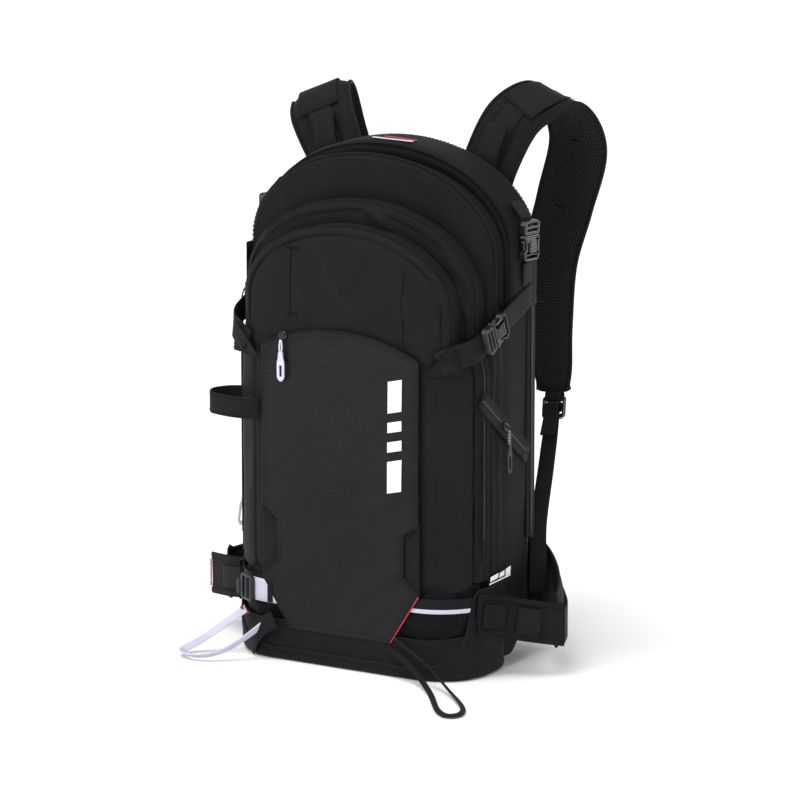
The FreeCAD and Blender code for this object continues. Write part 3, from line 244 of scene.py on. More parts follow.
BLACK_A, BLACK_B = (0.0052, 0.0052, 0.0063), (0.0085, 0.0085, 0.0101)
MAT = {
    "nylon": woven("ripstop_nylon", BLACK_A, BLACK_B, grid=5.0),
    "plain": woven("plain_nylon", (0.0062, 0.0062, 0.0074), (0.0098, 0.0098, 0.0115), period=1.3, grid=9.0,
                   depth=0.1),
    "boot": woven("boot_nylon", (0.0050, 0.0050, 0.0062), (0.0082, 0.0082, 0.0098), period=1.6, depth=0.2),
    # painted shade: this gusset nylon is about half as bright as the other black nylons, so the recessed
    # inner cloth and the airbag housing read as shaded
    "gusset": woven("gusset_nylon_painted_shade", (0.0026, 0.0026, 0.0032), (0.0042, 0.0042, 0.005), period=1.1, sheen=0.1),
    "piping": woven("piping_tape", (0.0062, 0.0062, 0.0074), (0.0095, 0.0095, 0.011), period=0.9, sheen=0.35),
    "thread": woven("black_thread", (0.0022, 0.0022, 0.0028), (0.004, 0.004, 0.0048), period=0.6, sheen=0.2),
    "red": woven("red_thread", (0.42, 0.02, 0.03), (0.6, 0.05, 0.06), period=0.7, sheen=0.3),
    "coated": coated(),
    "web": ribbed("black_webbing", (0.0062, 0.0062, 0.0074), (0.0098, 0.0098, 0.0112)),
    "web_white": ribbed("white_webbing", (0.52, 0.51, 0.64), (0.62, 0.61, 0.73), sheen=0.15),
    "coil": moulded("zip_coil", (0.004, 0.004, 0.005), (0.007, 0.007, 0.008), rough=(0.35, 0.5)),
    "gloss": moulded("gloss_acetal", (0.008, 0.008, 0.009), (0.012, 0.012, 0.013), rough=(0.12, 0.2),
                     coat=0.3),
    "speckle": speckled(),
    "plastic": moulded("black_acetal", (0.008, 0.008, 0.0095), (0.013, 0.013, 0.0145), coat=0.04),
    "matte": moulded("matte_plastic", (0.03, 0.03, 0.033), (0.045, 0.045, 0.05), rough=(0.45, 0.6),
                     grain=0.08),
    "rubber": moulded("black_rubber", (0.009, 0.009, 0.010), (0.014, 0.014, 0.0155), rough=(0.42, 0.55),
                      grain=0.06),
    "tpu": moulded("white_tpu", (0.55, 0.55, 0.68), (0.65, 0.65, 0.77), rough=(0.3, 0.42)),
    "print": moulded("white_print", (0.76, 0.76, 0.82), (0.85, 0.85, 0.9), rough=(0.4, 0.5)),
    "red_print": moulded("red_print", (0.5, 0.02, 0.04), (0.62, 0.03, 0.05), rough=(0.4, 0.5)),
    "lacquer": metal("black_lacquer", (0.02, 0.02, 0.022), (0.03, 0.03, 0.033), rough=(0.25, 0.4),
                     metallic=0.6),
    "alloy": metal("satin_alloy", (0.60, 0.60, 0.62), (0.70, 0.70, 0.72)),
    "anodised": metal("grey_anodised", (0.22, 0.23, 0.25), (0.32, 0.33, 0.35)),
    "mesh": spacer_mesh(),
    "airbag": woven("airbag_nylon", (0.55, 0.07, 0.04), (0.68, 0.11, 0.07), period=0.9, sheen=0.2),
    "sheet": moulded("sheet_plastic", (0.55, 0.55, 0.52), (0.65, 0.65, 0.62), rough=(0.4, 0.55)),
    "trigger": moulded("trigger_plastic", (0.5, 0.02, 0.015), (0.62, 0.04, 0.03), rough=(0.3, 0.4)),
}


# ------------------------------------------------------------------ mesh helpers

def finish_piece(obj, mat, body="pack", replaces=()):
    """Gives a new object its material and the body it rides on."""
    if mat is not None:
        obj.data.materials.clear()
        obj.data.materials.append(MAT[mat])
    if body is not None:
        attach(obj, body)
    if replaces:
        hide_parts(*replaces)
    return obj


def mesh_object(name, verts, faces, uvs=None, smooth=True):
    """An object from points in millimetres. uvs, if any, is one pair in metres per point."""
    mesh = bpy.data.meshes.new(name)
    mesh.from_pydata([tuple(v) for v in np.asarray(verts, float) * MM], [], [tuple(f) for f in faces])
    if uvs is not None:
        layer = mesh.uv_layers.new(name="UVMap")
        index = np.empty(len(mesh.loops), dtype=np.int32)
        mesh.loops.foreach_get("vertex_index", index)
        layer.data.foreach_set("uv", np.asarray(uvs, np.float32)[index].ravel())
    mesh.update()
    obj = bpy.data.objects.new(name, mesh)
    bpy.context.scene.collection.objects.link(obj)
    if smooth:
        mesh.polygons.foreach_set("use_smooth", [True] * len(mesh.polygons))
    return obj


def apply_all(obj):
    """Replaces an object's mesh by what its modifiers make of it."""
    graph = bpy.context.evaluated_depsgraph_get()
    mesh = bpy.data.meshes.new_from_object(obj.evaluated_get(graph))
    obj.modifiers.clear()
    obj.data = mesh
    return obj


def modify(obj, kind, **values):
    """Adds a modifier with its settings."""
    modifier = obj.modifiers.new(kind.lower(), kind)
    for key, value in values.items():
        setattr(modifier, key, value)
    return obj


def recalc(obj):
    """Turns an object's faces outwards."""
    bm = bmesh.new()
    bm.from_mesh(obj.data)
    bmesh.ops.recalc_face_normals(bm, faces=bm.faces)
    bm.to_mesh(obj.data)
    bm.free()
    return obj


def grid_faces(rows, cols, wrap=False):
    """Quads over a grid of points, optionally joined from its last column to its first."""
    faces = []
    for i in range(rows - 1):
        for j in range(cols if wrap else cols - 1):
            k = (j + 1) % cols
            faces.append((i * cols + j, i * cols + k, (i + 1) * cols + k, (i + 1) * cols + j))
    return faces


def grid_uv(points):
    """Lengths along both directions of a grid, in metres."""
    rows = np.linalg.norm(np.diff(points, axis=0), axis=2).mean(axis=1)
    cols = np.linalg.norm(np.diff(points, axis=1), axis=2).mean(axis=0)
    u = np.concatenate([[0], np.cumsum(rows)])
    v = np.concatenate([[0], np.cumsum(cols)])
    uu, vv = np.meshgrid(u, v, indexing="ij")
    return np.stack([uu.ravel(), vv.ravel()], axis=1) * MM


def grid_object(name, grid):
    """An object from a grid of points, with its lengths as UVs."""
    return mesh_object(name, grid.reshape(-1, 3), grid_faces(*grid.shape[:2]), grid_uv(grid))


def smooth_path(points, step=4.0):
    """A Catmull-Rom line through points, as evenly spaced points."""
    p = np.asarray(points, float)
    ends = np.vstack([2 * p[0] - p[1], p, 2 * p[-1] - p[-2]])
    out = []
    for i in range(1, len(ends) - 2):
        a, b, c, d = ends[i - 1:i + 3]
        t = np.linspace(0, 1, 24, endpoint=False)[:, None]
        out.append(0.5 * (2 * b + (c - a) * t + (2 * a - 5 * b + 4 * c - d) * t ** 2
                          + (3 * b - a - 3 * c + d) * t ** 3))
    out = np.vstack(out + [ends[-2:-1]])
    run = lengths(out)
    even = np.linspace(0, run[-1], max(3, int(run[-1] / step) + 1))
    return np.stack([np.interp(even, run, out[:, k]) for k in range(out.shape[1])], axis=1)


def lengths(path):
    """Distance along a line of points at each of them."""
    return np.concatenate([[0], np.cumsum(np.linalg.norm(np.diff(path, axis=0), axis=1))])


def upright(path):
    """Up, once per point of a line."""
    return np.broadcast_to([0, 0, 1.0], path.shape)


def tangents(path):
    """Unit direction of a line at each of its points."""
    t = np.gradient(path, axis=0)
    return t / np.linalg.norm(t, axis=1)[:, None]


def unit(v):
    """A vector, or each row of an array, at length 1."""
    v = np.asarray(v, float)
    return v / np.linalg.norm(v, axis=-1, keepdims=True)


def tube(name, path, radius, mat, body="pack", sides=10):
    """A round cord along a line of points."""
    path = np.asarray(path, float)
    t = tangents(path)
    up = np.array([0.0, 0.0, 1.0]) if abs(t[0][2]) < 0.9 else np.array([1.0, 0.0, 0.0])
    n = unit(np.cross(t[0], up))
    rings = []
    for point, along in zip(path, t):
        n = unit(n - along * np.dot(n, along))
        b = np.cross(along, n)
        a = np.linspace(0, 2 * math.pi, sides, endpoint=False)[:, None]
        rings.append(point + radius * (np.cos(a) * n + np.sin(a) * b))
    rings = np.array(rings)
    faces = grid_faces(len(path), sides, wrap=True)
    faces += [tuple(range(sides))[::-1], tuple(range((len(path) - 1) * sides, len(path) * sides))]
    run = lengths(path)
    uv = np.stack([np.repeat(run, sides), np.tile(np.linspace(0, 2 * math.pi * radius, sides), len(path))],
                  axis=1) * MM
    return finish_piece(mesh_object(name, rings.reshape(-1, 3), faces, uv), mat, body)


def sweep(name, path, across, section, mat, body="pack", replaces=(), scale=None):
    """A closed section swept along a line.

    across is the width direction at each point, section a loop of (across, up) pairs. scale,
    if any, widens the section at each point.
    """
    path, across = np.asarray(path, float), np.asarray(across, float)
    t = tangents(path)
    a = unit(across - t * np.sum(across * t, axis=1)[:, None])
    u = np.cross(t, a)
    section = np.asarray(section, float)
    scale = np.ones(len(path)) if scale is None else np.asarray(scale)
    rings = (path[:, None] + a[:, None] * (section[None, :, 0:1] * scale[:, None, None])
             + u[:, None] * section[None, :, 1:2])
    count = len(section)
    faces = grid_faces(len(path), count, wrap=True)
    faces += [tuple(range(count))[::-1], tuple(range((len(path) - 1) * count, len(path) * count))]
    run = lengths(path)
    uv = np.stack([np.repeat(run, count), np.tile(section[:, 0], len(path))], axis=1) * MM
    obj = recalc(mesh_object(name, rings.reshape(-1, 3), faces, uv))
    return finish_piece(obj, mat, body, replaces)


def web_section(wide, thick, soft=0.5):
    """Outline of a flat strap with softened edges."""
    w, h = wide / 2, thick / 2
    e = min(soft, h * 0.9)
    return [(-w, -h + e), (-w + e, -h), (-w / 2, -h), (0, -h), (w / 2, -h), (w - e, -h), (w, -h + e),
            (w, h - e), (w - e, h), (w / 2, h), (0, h), (-w / 2, h), (-w + e, h), (-w, h - e)]


def webbing(name, points, wide, face, thick=1.6, mat="web", body="pack", step=3.0, replaces=()):
    """Flat strap through points. face is the way its flat side looks, one for all or one per point."""
    pts = np.asarray(points, float)
    faces_at = np.broadcast_to(np.asarray(face, float), pts.shape)
    line = smooth_path(np.hstack([pts, faces_at]), step)
    path, normal = line[:, :3], unit(line[:, 3:])
    across = np.cross(normal, tangents(path))
    return sweep(name, path, across, web_section(wide, thick), mat, body, replaces)


def stitches(name, points, mat="thread", body="pack", long=3.2, gap=1.6, radius=0.45):
    """A row of short thread runs along a line, all in one mesh."""
    path = smooth_path(points, 0.8)
    run = lengths(path)
    verts, faces = [], []
    at = 0.0
    while at + long < run[-1]:
        a, b = (np.array([np.interp(s, run, path[:, k]) for k in range(3)]) for s in (at, at + long))
        along = unit(b - a)
        side = unit(np.cross(along, [0.3, -0.5, 0.8]))
        up = np.cross(along, side)
        base = len(verts)
        for point, r in ((a, 0.3), ((a + b) / 2, 1.0), (b, 0.3)):
            for k in range(5):
                angle = 2 * math.pi * k / 5
                verts.append(point + radius * r * (math.cos(angle) * side + math.sin(angle) * up))
        for ring in range(2):
            for k in range(5):
                m = (k + 1) % 5
                faces.append((base + ring * 5 + k, base + ring * 5 + m, base + (ring + 1) * 5 + m,
                              base + (ring + 1) * 5 + k))
        faces += [tuple(base + k for k in range(4, -1, -1)), tuple(base + 10 + k for k in range(5))]
        at += long + gap
    return finish_piece(mesh_object(name, verts, faces), mat, body)


def plate(name, outline, thick, place, mat, body="pack", holes=(), bevel=0.4, replaces=()):
    """A flat moulded piece: outline with holes, rounded edges, set down by a placement matrix."""
    curve = bpy.data.curves.new(name, "CURVE")
    curve.dimensions = "2D"
    curve.fill_mode = "BOTH"
    for loop in (outline, *holes):
        spline = curve.splines.new("POLY")
        spline.points.add(len(loop) - 1)
        for point, (x, y) in zip(spline.points, loop):
            point.co = (x * MM, y * MM, 0, 1)
        spline.use_cyclic_u = True
    curve.extrude = max(thick / 2 - bevel, 0.05) * MM
    curve.bevel_depth = bevel * MM
    curve.bevel_resolution = 2
    curve.offset = -bevel * MM
    source = bpy.data.objects.new(name + "_curve", curve)
    bpy.context.scene.collection.objects.link(source)
    graph = bpy.context.evaluated_depsgraph_get()
    mesh = bpy.data.meshes.new_from_object(source.evaluated_get(graph))
    mesh.name = name
    bpy.data.objects.remove(source)
    obj = bpy.data.objects.new(name, mesh)
    bpy.context.scene.collection.objects.link(obj)
    mesh.transform(place)
    bm = bmesh.new()
    bm.from_mesh(mesh)
    bmesh.ops.remove_doubles(bm, verts=bm.verts, dist=0.00002)
    bmesh.ops.recalc_face_normals(bm, faces=bm.faces)
    bm.to_mesh(mesh)
    bm.free()
    mesh.polygons.foreach_set("use_smooth", [False] * len(mesh.polygons))
    return finish_piece(obj, mat, body, replaces)


def place(origin, along, face):
    """Matrix in metres whose X runs along a direction and whose Z comes nearest to face."""
    x = unit(along)
    z = np.asarray(face, float)
    z = unit(z - x * np.dot(z, x))
    y = np.cross(z, x)
    m = Matrix(((x[0], y[0], z[0], origin[0] * MM), (x[1], y[1], z[1], origin[1] * MM),
                (x[2], y[2], z[2], origin[2] * MM), (0, 0, 0, 1)))
    return m


def rounded(points, radius):
    """A polygon with its corners rounded. radius may be one number or one per corner."""
    pts = np.asarray(points, float)
    radii = np.broadcast_to(np.asarray(radius, float), len(pts))
    out = []
    for i, p in enumerate(pts):
        a, b = pts[i - 1] - p, pts[(i + 1) % len(pts)] - p
        la, lb = np.linalg.norm(a), np.linalg.norm(b)
        reach = min(radii[i], 0.48 * la, 0.48 * lb)
        start, end = p + a / la * reach, p + b / lb * reach
        for t in np.linspace(0, 1, 5):
            out.append((1 - t) ** 2 * start + 2 * t * (1 - t) * p + t ** 2 * end)
    return [tuple(q) for q in out]


def fold(x, z, start, end, wide, high):
    """Height of one soft crease in a flat cloth, from start to end, fading out at both ends."""
    a, b = np.asarray(start, float), np.asarray(end, float)
    d = b - a
    length = np.linalg.norm(d)
    d /= length
    s = ((x - a[0]) * d[0] + (z - a[1]) * d[1]) / length
    off = (x - a[0]) * -d[1] + (z - a[1]) * d[0]
    fade = np.clip(s * 4, 0, 1) * np.clip((1 - s) * 4, 0, 1)
    fade = fade * fade * (3 - 2 * fade)
    return high * fade * np.exp(-(off / wide) ** 2)


def cloth_noise(points, scale, seed):
    """Smooth noise at points in millimetres, between about -1 and 1."""
    offset = Vector((seed * 13.7, seed * 7.1, seed * 3.3))
    return np.array([noise.noise(Vector(p) / scale + offset) for p in np.asarray(points, float)])


# ------------------------------------------------------------------ driving sizes, from the frame

def box_mm(node):
    """A frame node's box, in millimetres."""
    low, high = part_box(node)
    return np.array(low) / MM, np.array(high) / MM


PANEL_LOW, PANEL_HIGH = box_mm("coated_panel")
BOOT_LOW, BOOT_HIGH = box_mm("base_boot")
DOOR_LOW, DOOR_HIGH = box_mm("back_door")
BOOT_CORNER, BOOT_REAR_CORNER = 62.0, 30.0
FRONT_Y = BOOT_LOW[1]


# ------------------------------------------------------------------ cords

CARRY_LOOP = [(-121, -57.5, 50), (-142, -64, 33), (-166, -76, 13), (-179, -90, 5), (-173, -106, 5),
              (-152, -112, 5), (-130, -102, 8), (-110, -84, 21), (-94, -67, 38)]
AXE_LOOP = [(70, -64, 44), (83, -66, 37.5), (98, -68.5, 31), (114, -72, 24), (132, -79, 14), (152, -91, 6),
            (170, -106, 3.3), (187, -124, 3.2), (201, -143, 3.2), (206, -160, 3.2), (196, -171, 3.2),
            (180, -160, 3.2), (162, -137, 3.2), (144, -112, 3.3), (124, -90, 5.5), (104, -75.5, 13),
            (87, -69, 22), (73, -66, 29), (60, -64.2, 33)]


def route_points(name, points):
    """Points along the NURBS spline whose control points are the route."""
    curve = bpy.data.curves.new(name + "_route", "CURVE")
    curve.dimensions = "3D"
    curve.resolution_u = 12
    spline = curve.splines.new("NURBS")
    spline.points.add(len(points) - 1)
    for point, at in zip(spline.points, points):
        point.co = (at[0] * MM, at[1] * MM, at[2] * MM, 1)
    spline.order_u = 3
    spline.use_endpoint_u = True
    holder = bpy.data.objects.new(name + "_route", curve)
    bpy.context.scene.collection.objects.link(holder)
    mesh = bpy.data.meshes.new_from_object(holder.evaluated_get(bpy.context.evaluated_depsgraph_get()))
    path = np.array([v.co for v in mesh.vertices]) / MM
    bpy.data.objects.remove(holder)
    bpy.data.meshes.remove(mesh)
    return path


def loop_tape(name, route, wide, thick, mat, node, lean):
    """A tape loop: a flat webbing that stands on edge where it is bent and lies down between."""
    path = route_points(name, route)
    t = tangents(path)
    side = unit(np.cross(t, [0, 0, 1.0]))
    lie = np.array([lean(s) for s in np.linspace(0, 1, len(path))])[:, None]
    up = np.cross(side, t)
    across = unit(side * np.sin(lie) + up * np.cos(lie))
    lift = np.maximum(wide / 2 * np.abs(across[:, 2]) + 0.3 - path[:, 2], 0)
    path = path + np.stack([0 * lift, 0 * lift, lift], axis=1)
    obj = sweep(name, path, across, web_section(wide, thick, 0.3), mat, replaces=[node])
    return obj


def build_cords():
    """The white carry loop and the black axe loop, which hang free."""
    loop_tape("ski_carry_loop_tape", CARRY_LOOP, 9.0, 1.6, "web_white", "ski_carry_loop",
              lambda s: 0.55 + 0.5 * math.sin(math.pi * s))
    loop_tape("ice_axe_loop_tape", AXE_LOOP, 6.0, 1.6, "web", "ice_axe_loop",
              lambda s: 0.5 + 0.7 * math.sin(math.pi * s))


# ------------------------------------------------------------------ coated panel and boot

def panel_half(z):
    """Half width of the coated panel at a height: tapered foot and a notch on each edge."""
    return np.interp(z, [37, 92, 96, 111, 153, 168], [62, 97, 97, 79, 79, 97])


def panel_top(x):
    """Height of the panel's arched upper edge across its width."""
    half, rise = 97.0, 23.0
    r = (half ** 2 + rise ** 2) / (2 * rise)
    return 368 - r + np.sqrt(r * r - np.clip(x, -half, half) ** 2)


def panel_surface(x, z):
    """How far forward the panel stands at a place, with its creases."""
    belly = 2.0 * np.clip(1 - (x / 97) ** 2, 0, 1) * np.sin(np.clip((z - 37) / 308, 0, 1) * math.pi)
    h = belly
    for start, end, wide, high in (
            ((97, 218), (18, 168), 9, 1.1), ((92, 132), (10, 74), 8, 1.3), ((96, 100), (20, 52), 7, 1.2),
            ((-95, 320), (-40, 250), 9, 0.8), ((-96, 240), (-30, 160), 10, 0.8),
            ((90, 330), (50, 200), 12, 0.7), ((-92, 120), (-20, 60), 8, 1.0), ((60, 356), (20, 300), 9, 0.6),
            ((-20, 150), (30, 40), 11, 0.8)):
        h = h + fold(x, z, start, end, wide, high)
    return h


def build_panel():
    """The coated panel: sewn edges, arched top, and the notches with webbing below them."""
    rows, cols = 120, 76
    points = np.zeros((rows, cols, 3))
    for i, v in enumerate(np.linspace(0, 1, rows)):
        flat_z = 37 + v * (345 - 37)
        x = np.linspace(-1, 1, cols) * panel_half(flat_z)
        z = 37 + (flat_z - 37) * (panel_top(x) - 37) / (345 - 37)
        points[i] = np.stack([x, -61.2 - panel_surface(x, z), z], axis=1)
    flat = points.reshape(-1, 3)
    flat[:, 1] -= 0.5 * cloth_noise(flat, 40, 11)
    obj = mesh_object("coated_panel_cloth", flat, grid_faces(rows, cols), grid_uv(points))
    modify(recalc(obj), "SOLIDIFY", thickness=1.1 * MM, offset=0.0)
    apply_all(obj)
    finish_piece(obj, "coated", replaces=["coated_panel"])

    def on_panel(x, z, lift=0.7):
        return np.stack([x, -61.6 - lift - panel_surface(x, z), z], axis=1)

    z = np.linspace(40, 340, 160)
    for side in (-1, 1):
        for inset in (2.4, 6.0):
            stitches(f"panel_edge_stitch_{side + 1}_{inset:.0f}",
                     on_panel(side * (panel_half(z) - inset), z, 0.4), "thread", radius=0.3)
        zt = np.linspace(38, 92, 30)
        tube(f"panel_taper_piping_{side + 1}", on_panel(side * panel_half(zt), zt, -0.6), 0.9,
             "red" if side > 0 else "piping", sides=6)
    x = np.linspace(-95, 95, 90)
    for drop in (2.6, 6.2):
        stitches(f"panel_top_stitch_{drop:.0f}", on_panel(x, panel_top(x) - drop, 0.4), "thread", radius=0.3)
    top = on_panel(x, panel_top(x), 0.1)
    tube("panel_top_seam", top, 1.0, "piping", sides=6)
    xh = np.linspace(-60, 60, 40)
    stitches("panel_hem_stitch", on_panel(xh, xh * 0 + 43, 0.4), "thread", radius=0.3)
    for side in (-1, 1):
        webbing(f"notch_webbing_{side + 1}", [(side * 88, -59.6, 94), (side * 88, -60.2, 132),
                                              (side * 88, -59.6, 170)],
                20, (0, -1, 0), 1.2)
        zn = np.linspace(93, 171, 60)
        tube(f"notch_piping_{side + 1}", on_panel(side * panel_half(zn), zn, -0.4), 1.0, "piping", sides=6)


def boot_path(offset, count=240):
    """Closed plan outline of the boot, counted from the middle of the front towards the right.

    Returns points, outward directions and the distance along the unshifted outline.
    """
    half, back = BOOT_HIGH[0], BOOT_HIGH[1]
    r, q = BOOT_CORNER, BOOT_REAR_CORNER
    flat = half - r
    spans = [flat, r * math.pi / 2, back - q - (FRONT_Y + r), q * math.pi / 2, half - q]
    s = np.linspace(0, sum(spans), count)
    pts, outs = [], []
    for d in s:
        if d <= spans[0]:
            p, n = (d, FRONT_Y), (0, -1)
        elif d <= sum(spans[:2]):
            a = (d - spans[0]) / r
            n = (math.sin(a), -math.cos(a))
            p = (flat + r * n[0], FRONT_Y + r + r * n[1])
        elif d <= sum(spans[:3]):
            p, n = (half, FRONT_Y + r + d - sum(spans[:2])), (1, 0)
        elif d <= sum(spans[:4]):
            a = (d - sum(spans[:3])) / q
            n = (math.cos(a), math.sin(a))
            p = (half - q + q * n[0], back - q + q * n[1])
        else:
            p, n = (half - q - (d - sum(spans[:4])), back), (0, 1)
        pts.append(p)
        outs.append(n)
    pts, outs = np.array(pts), np.array(outs)
    return pts + outs * offset, outs, s


def boot_band(name, offset, s_range, low, high, mat, rows=18, puff=0.0, shape=None, foot_round=0.0,
              replaces=()):
    """A band of cloth on the boot's outline, both sides of the middle, from low(s) to high(s)."""
    pts, outs, s = boot_path(offset)
    keep = (s >= s_range[0]) & (s <= s_range[1])
    pts, outs, s = pts[keep], outs[keep], s[keep]
    if s_range[0] <= 0:
        full = np.vstack([pts[::-1] * [-1, 1], pts[1:]])
        fout = np.vstack([outs[::-1] * [-1, 1], outs[1:]])
        fs = np.concatenate([-s[::-1], s[1:]])
    else:
        full, fout, fs = pts, outs, s
    grid = []
    for v in np.linspace(0, 1, rows):
        z = low(np.abs(fs)) + v * (high(np.abs(fs)) - low(np.abs(fs)))
        push = puff * math.sin(math.pi * v)
        tuck = np.where(z < foot_round,
                        foot_round - np.sqrt(np.clip(foot_round ** 2 - (foot_round - z) ** 2, 0, None)), 0)
        p = full + fout * (push - tuck[:, None])
        grid.append(np.stack([p[:, 0], p[:, 1], z], axis=1))
    grid = np.array(grid)
    if shape is not None:
        grid = shape(grid, np.broadcast_to(fs, grid.shape[:2]), fout)
    obj = grid_object(name, grid)
    modify(recalc(obj), "SOLIDIFY", thickness=1.2 * MM, offset=0.0)
    apply_all(obj)
    finish_piece(obj, mat, replaces=replaces)
    return grid


def boot_seam_height(s):
    """Upper edge of the boot's outer cloth: low across the front, then sweeping up to the side."""
    return np.interp(s, [0, 84, 100, 116, 130, 141, 149, 155, 159, 164, 206, 232, 270],
                     [14, 14, 15.2, 18, 24, 33.5, 52, 78, 92, 97, 97, 78, 60])


def build_boot():
    """The boot: outer, front and inner cloth, its straps, the carry flap and the sole."""
    def wrinkle(grid, s, out):
        flat = grid.reshape(-1, 3)
        n = cloth_noise(flat, 30, 21).reshape(s.shape)
        side = np.clip((np.abs(s) - 100) / 40, 0, 1)
        grid[..., 0] += out[:, 0] * n * (0.6 + 1.4 * side)
        grid[..., 1] += out[:, 1] * n * (0.6 + 1.4 * side)
        return grid

    def zero(s):
        return 0 * s + 0.25

    outer = boot_band("boot_outer_cloth", 0.9, (0, 400), zero, boot_seam_height, "boot", 26, 0.0, wrinkle,
                      8.0, ["base_boot"])
    edge = outer[-1]
    tube("boot_edge_piping", edge, 1.4, "piping", sides=8)
    stitches("boot_edge_stitch", edge + np.array([0, -0.8, -4.5]), "thread", radius=0.35)

    def front_top(s):
        return 44 + 4 * np.clip((s - 90) / 60, 0, 1) ** 2

    front = boot_band("boot_front_cloth", -1.0, (0, 160), lambda s: 0 * s + 8, front_top, "boot", 14, 1.2,
                      wrinkle)
    tube("boot_front_piping", front[-1], 1.3, "piping", sides=8)
    stitches("boot_front_stitch", front[-1] + np.array([0, -1.2, -5.0]), "thread", radius=0.35)

    def puffy(grid, s, out):
        flat = grid.reshape(-1, 3)
        n = cloth_noise(flat * [1, 1, 0.8], 17, 31).reshape(s.shape) + 0.5 * cloth_noise(flat, 8,
                                                                                         5).reshape(s.shape)
        grid[..., 0] += out[:, 0] * n * 3.0
        grid[..., 1] += out[:, 1] * n * 3.0
        grid[..., 2] += 1.5 * n
        return grid

    # painted shade: the inner cloth, set in above the boot, takes the darkened gusset nylon for the shade in
    # that recess
    boot_band("boot_inner_cloth", -9.0, (0, 172), lambda s: 0 * s + 30, lambda s: 0 * s + 104, "gusset", 34,
              6.5, puffy)
    pts, _, s = boot_path(-1.2)
    keep = (s > 60) & (s < 168)
    for side in (-1, 1):
        line = np.stack([side * pts[keep, 0], pts[keep, 1], 0 * s[keep] + 84.5], axis=1)
        sweep(f"boot_gap_webbing_{side + 1}", line, upright(line), web_section(11, 1.4), "web")
    keep = (s > 72) & (s < 163)
    line = np.stack([pts[keep, 0], pts[keep, 1], 0 * s[keep] + 76.6], axis=1)
    sweep("carry_strap_right_tape", line, upright(line), web_section(4.6, 2.2), "web_white",
          replaces=["ski_carry_strap"])
    keep = (s > 62) & (s < 112)
    pts2, _, s2 = boot_path(1.2)
    line = np.stack([-pts2[keep, 0], pts2[keep, 1], 0 * s2[keep] + 74.5], axis=1)
    sweep("carry_strap_left_tape", line, upright(line), web_section(25, 1.4), "web_white")
    pts3, _, s3 = boot_path(2.3)
    keep = (s3 > 83) & (s3 < 91)
    line = np.stack([-pts3[keep, 0], pts3[keep, 1], 0 * s3[keep] + 74.5], axis=1)
    sweep("carry_strap_bar", line, upright(line), web_section(24, 0.6), "web")
    flap = smooth_path(np.array([(-78, -68.8, 46), (-92, -70.2, 37.5), (-106, -65.8, 23), (-117, -55, 7)],
                                float), 3.0)
    outward = unit(np.stack([-0.1 - 0.016 * np.arange(len(flap)), 0 * flap[:, 0] - 1, 0 * flap[:, 0]],
                            axis=1))
    sweep("carry_flap_webbing", flap, unit(np.cross(outward, tangents(flap))), web_section(19, 1.8), "web")
    tack = np.array([(-127 + 0.8 * k, -58.2 + (0.5 if k % 2 else -0.5),
                      52 - 0.5 * k + (1.6 if k % 2 else -1.6)) for k in range(14)])
    tube("carry_loop_bartack", tack, 0.7, "red", sides=6)
    bottom = boot_path(-7.0, 120)[0]
    loop = np.vstack([bottom, bottom[::-1] * [-1, 1]])[:-1]
    verts = np.hstack([loop, np.full((len(loop), 1), 0.25)])
    finish_piece(mesh_object("boot_sole", verts, [tuple(range(len(loop)))], smooth=False), "boot")


# ------------------------------------------------------------------ bag shells

def arch(half, foot, shoulder, top, low_half=None, n_side=60, n_top=110):
    """Upright outline from the left foot over the top to the right foot.

    low_half, where given, is the half width near the foot: the sides run out to it below the
    height where the compression straps cross.
    """
    up = np.linspace(foot, shoulder, n_side, endpoint=False)
    a = np.linspace(math.pi, 0, n_top)
    low = half if low_half is None else low_half
    t = np.clip((STRAP_Z - up) / 46 + 0.5, 0, 1)
    w = half + (low - half) * t * t * (3 - 2 * t)
    x = np.concatenate([-w, half * np.cos(a), w[::-1]])
    z = np.concatenate([up, shoulder + (top - shoulder) * np.sin(a), up[::-1]])
    return np.stack([x, z], axis=1)


STRAP_Z = 345.0


def shell(name, stations, mat, replaces=(), face_rings=0, bulge=0.0, shape=None):
    """A sewn shell skinned over arched outlines.

    stations run from the front edge to the back: (y, half, foot, shoulder, top, low half).
    face_rings closes the first one with a face that bulges forwards. shape moves the points.
    """
    rows = []
    if face_rings:
        y0, *first = stations[0]
        edge = arch(*first)
        foot0, shoulder0 = first[1], first[2]
        spine = np.stack([np.zeros(len(edge)), np.clip(edge[:, 1], foot0, shoulder0)], axis=1)
        for r in np.linspace(0.0, 1, face_rings, endpoint=False):
            p = spine + (edge - spine) * r
            rows.append(np.stack([p[:, 0], np.full(len(p), y0) - bulge * (1 - r ** 2.4), p[:, 1]], axis=1))
    for y, *outline in stations:
        e = arch(*outline)
        rows.append(np.stack([e[:, 0], np.full(len(e), y), e[:, 1]], axis=1))
    points = np.array(rows)
    if shape is not None:
        points = shape(points)
    obj = grid_object(name, points)
    recalc(obj)
    modify(obj, "SUBSURF", levels=1)
    apply_all(obj)
    return finish_piece(obj, mat, replaces=replaces)


def arch_line(y, half, foot, shoulder, top, low_half=None, lift=0.0):
    """The outline of an arch at a depth, as a line of points."""
    e = arch(half + lift, foot, shoulder, top + lift, None if low_half is None else low_half + lift, 40, 90)
    return np.stack([e[:, 0], np.full(len(e), y), e[:, 1]], axis=1)


def relax(points, amount, scale, seed):
    """Adds cloth noise to a grid of points along Y."""
    flat = points.reshape(-1, 3).copy()
    flat[:, 1] += amount * cloth_noise(flat, scale, seed)
    return flat.reshape(points.shape)


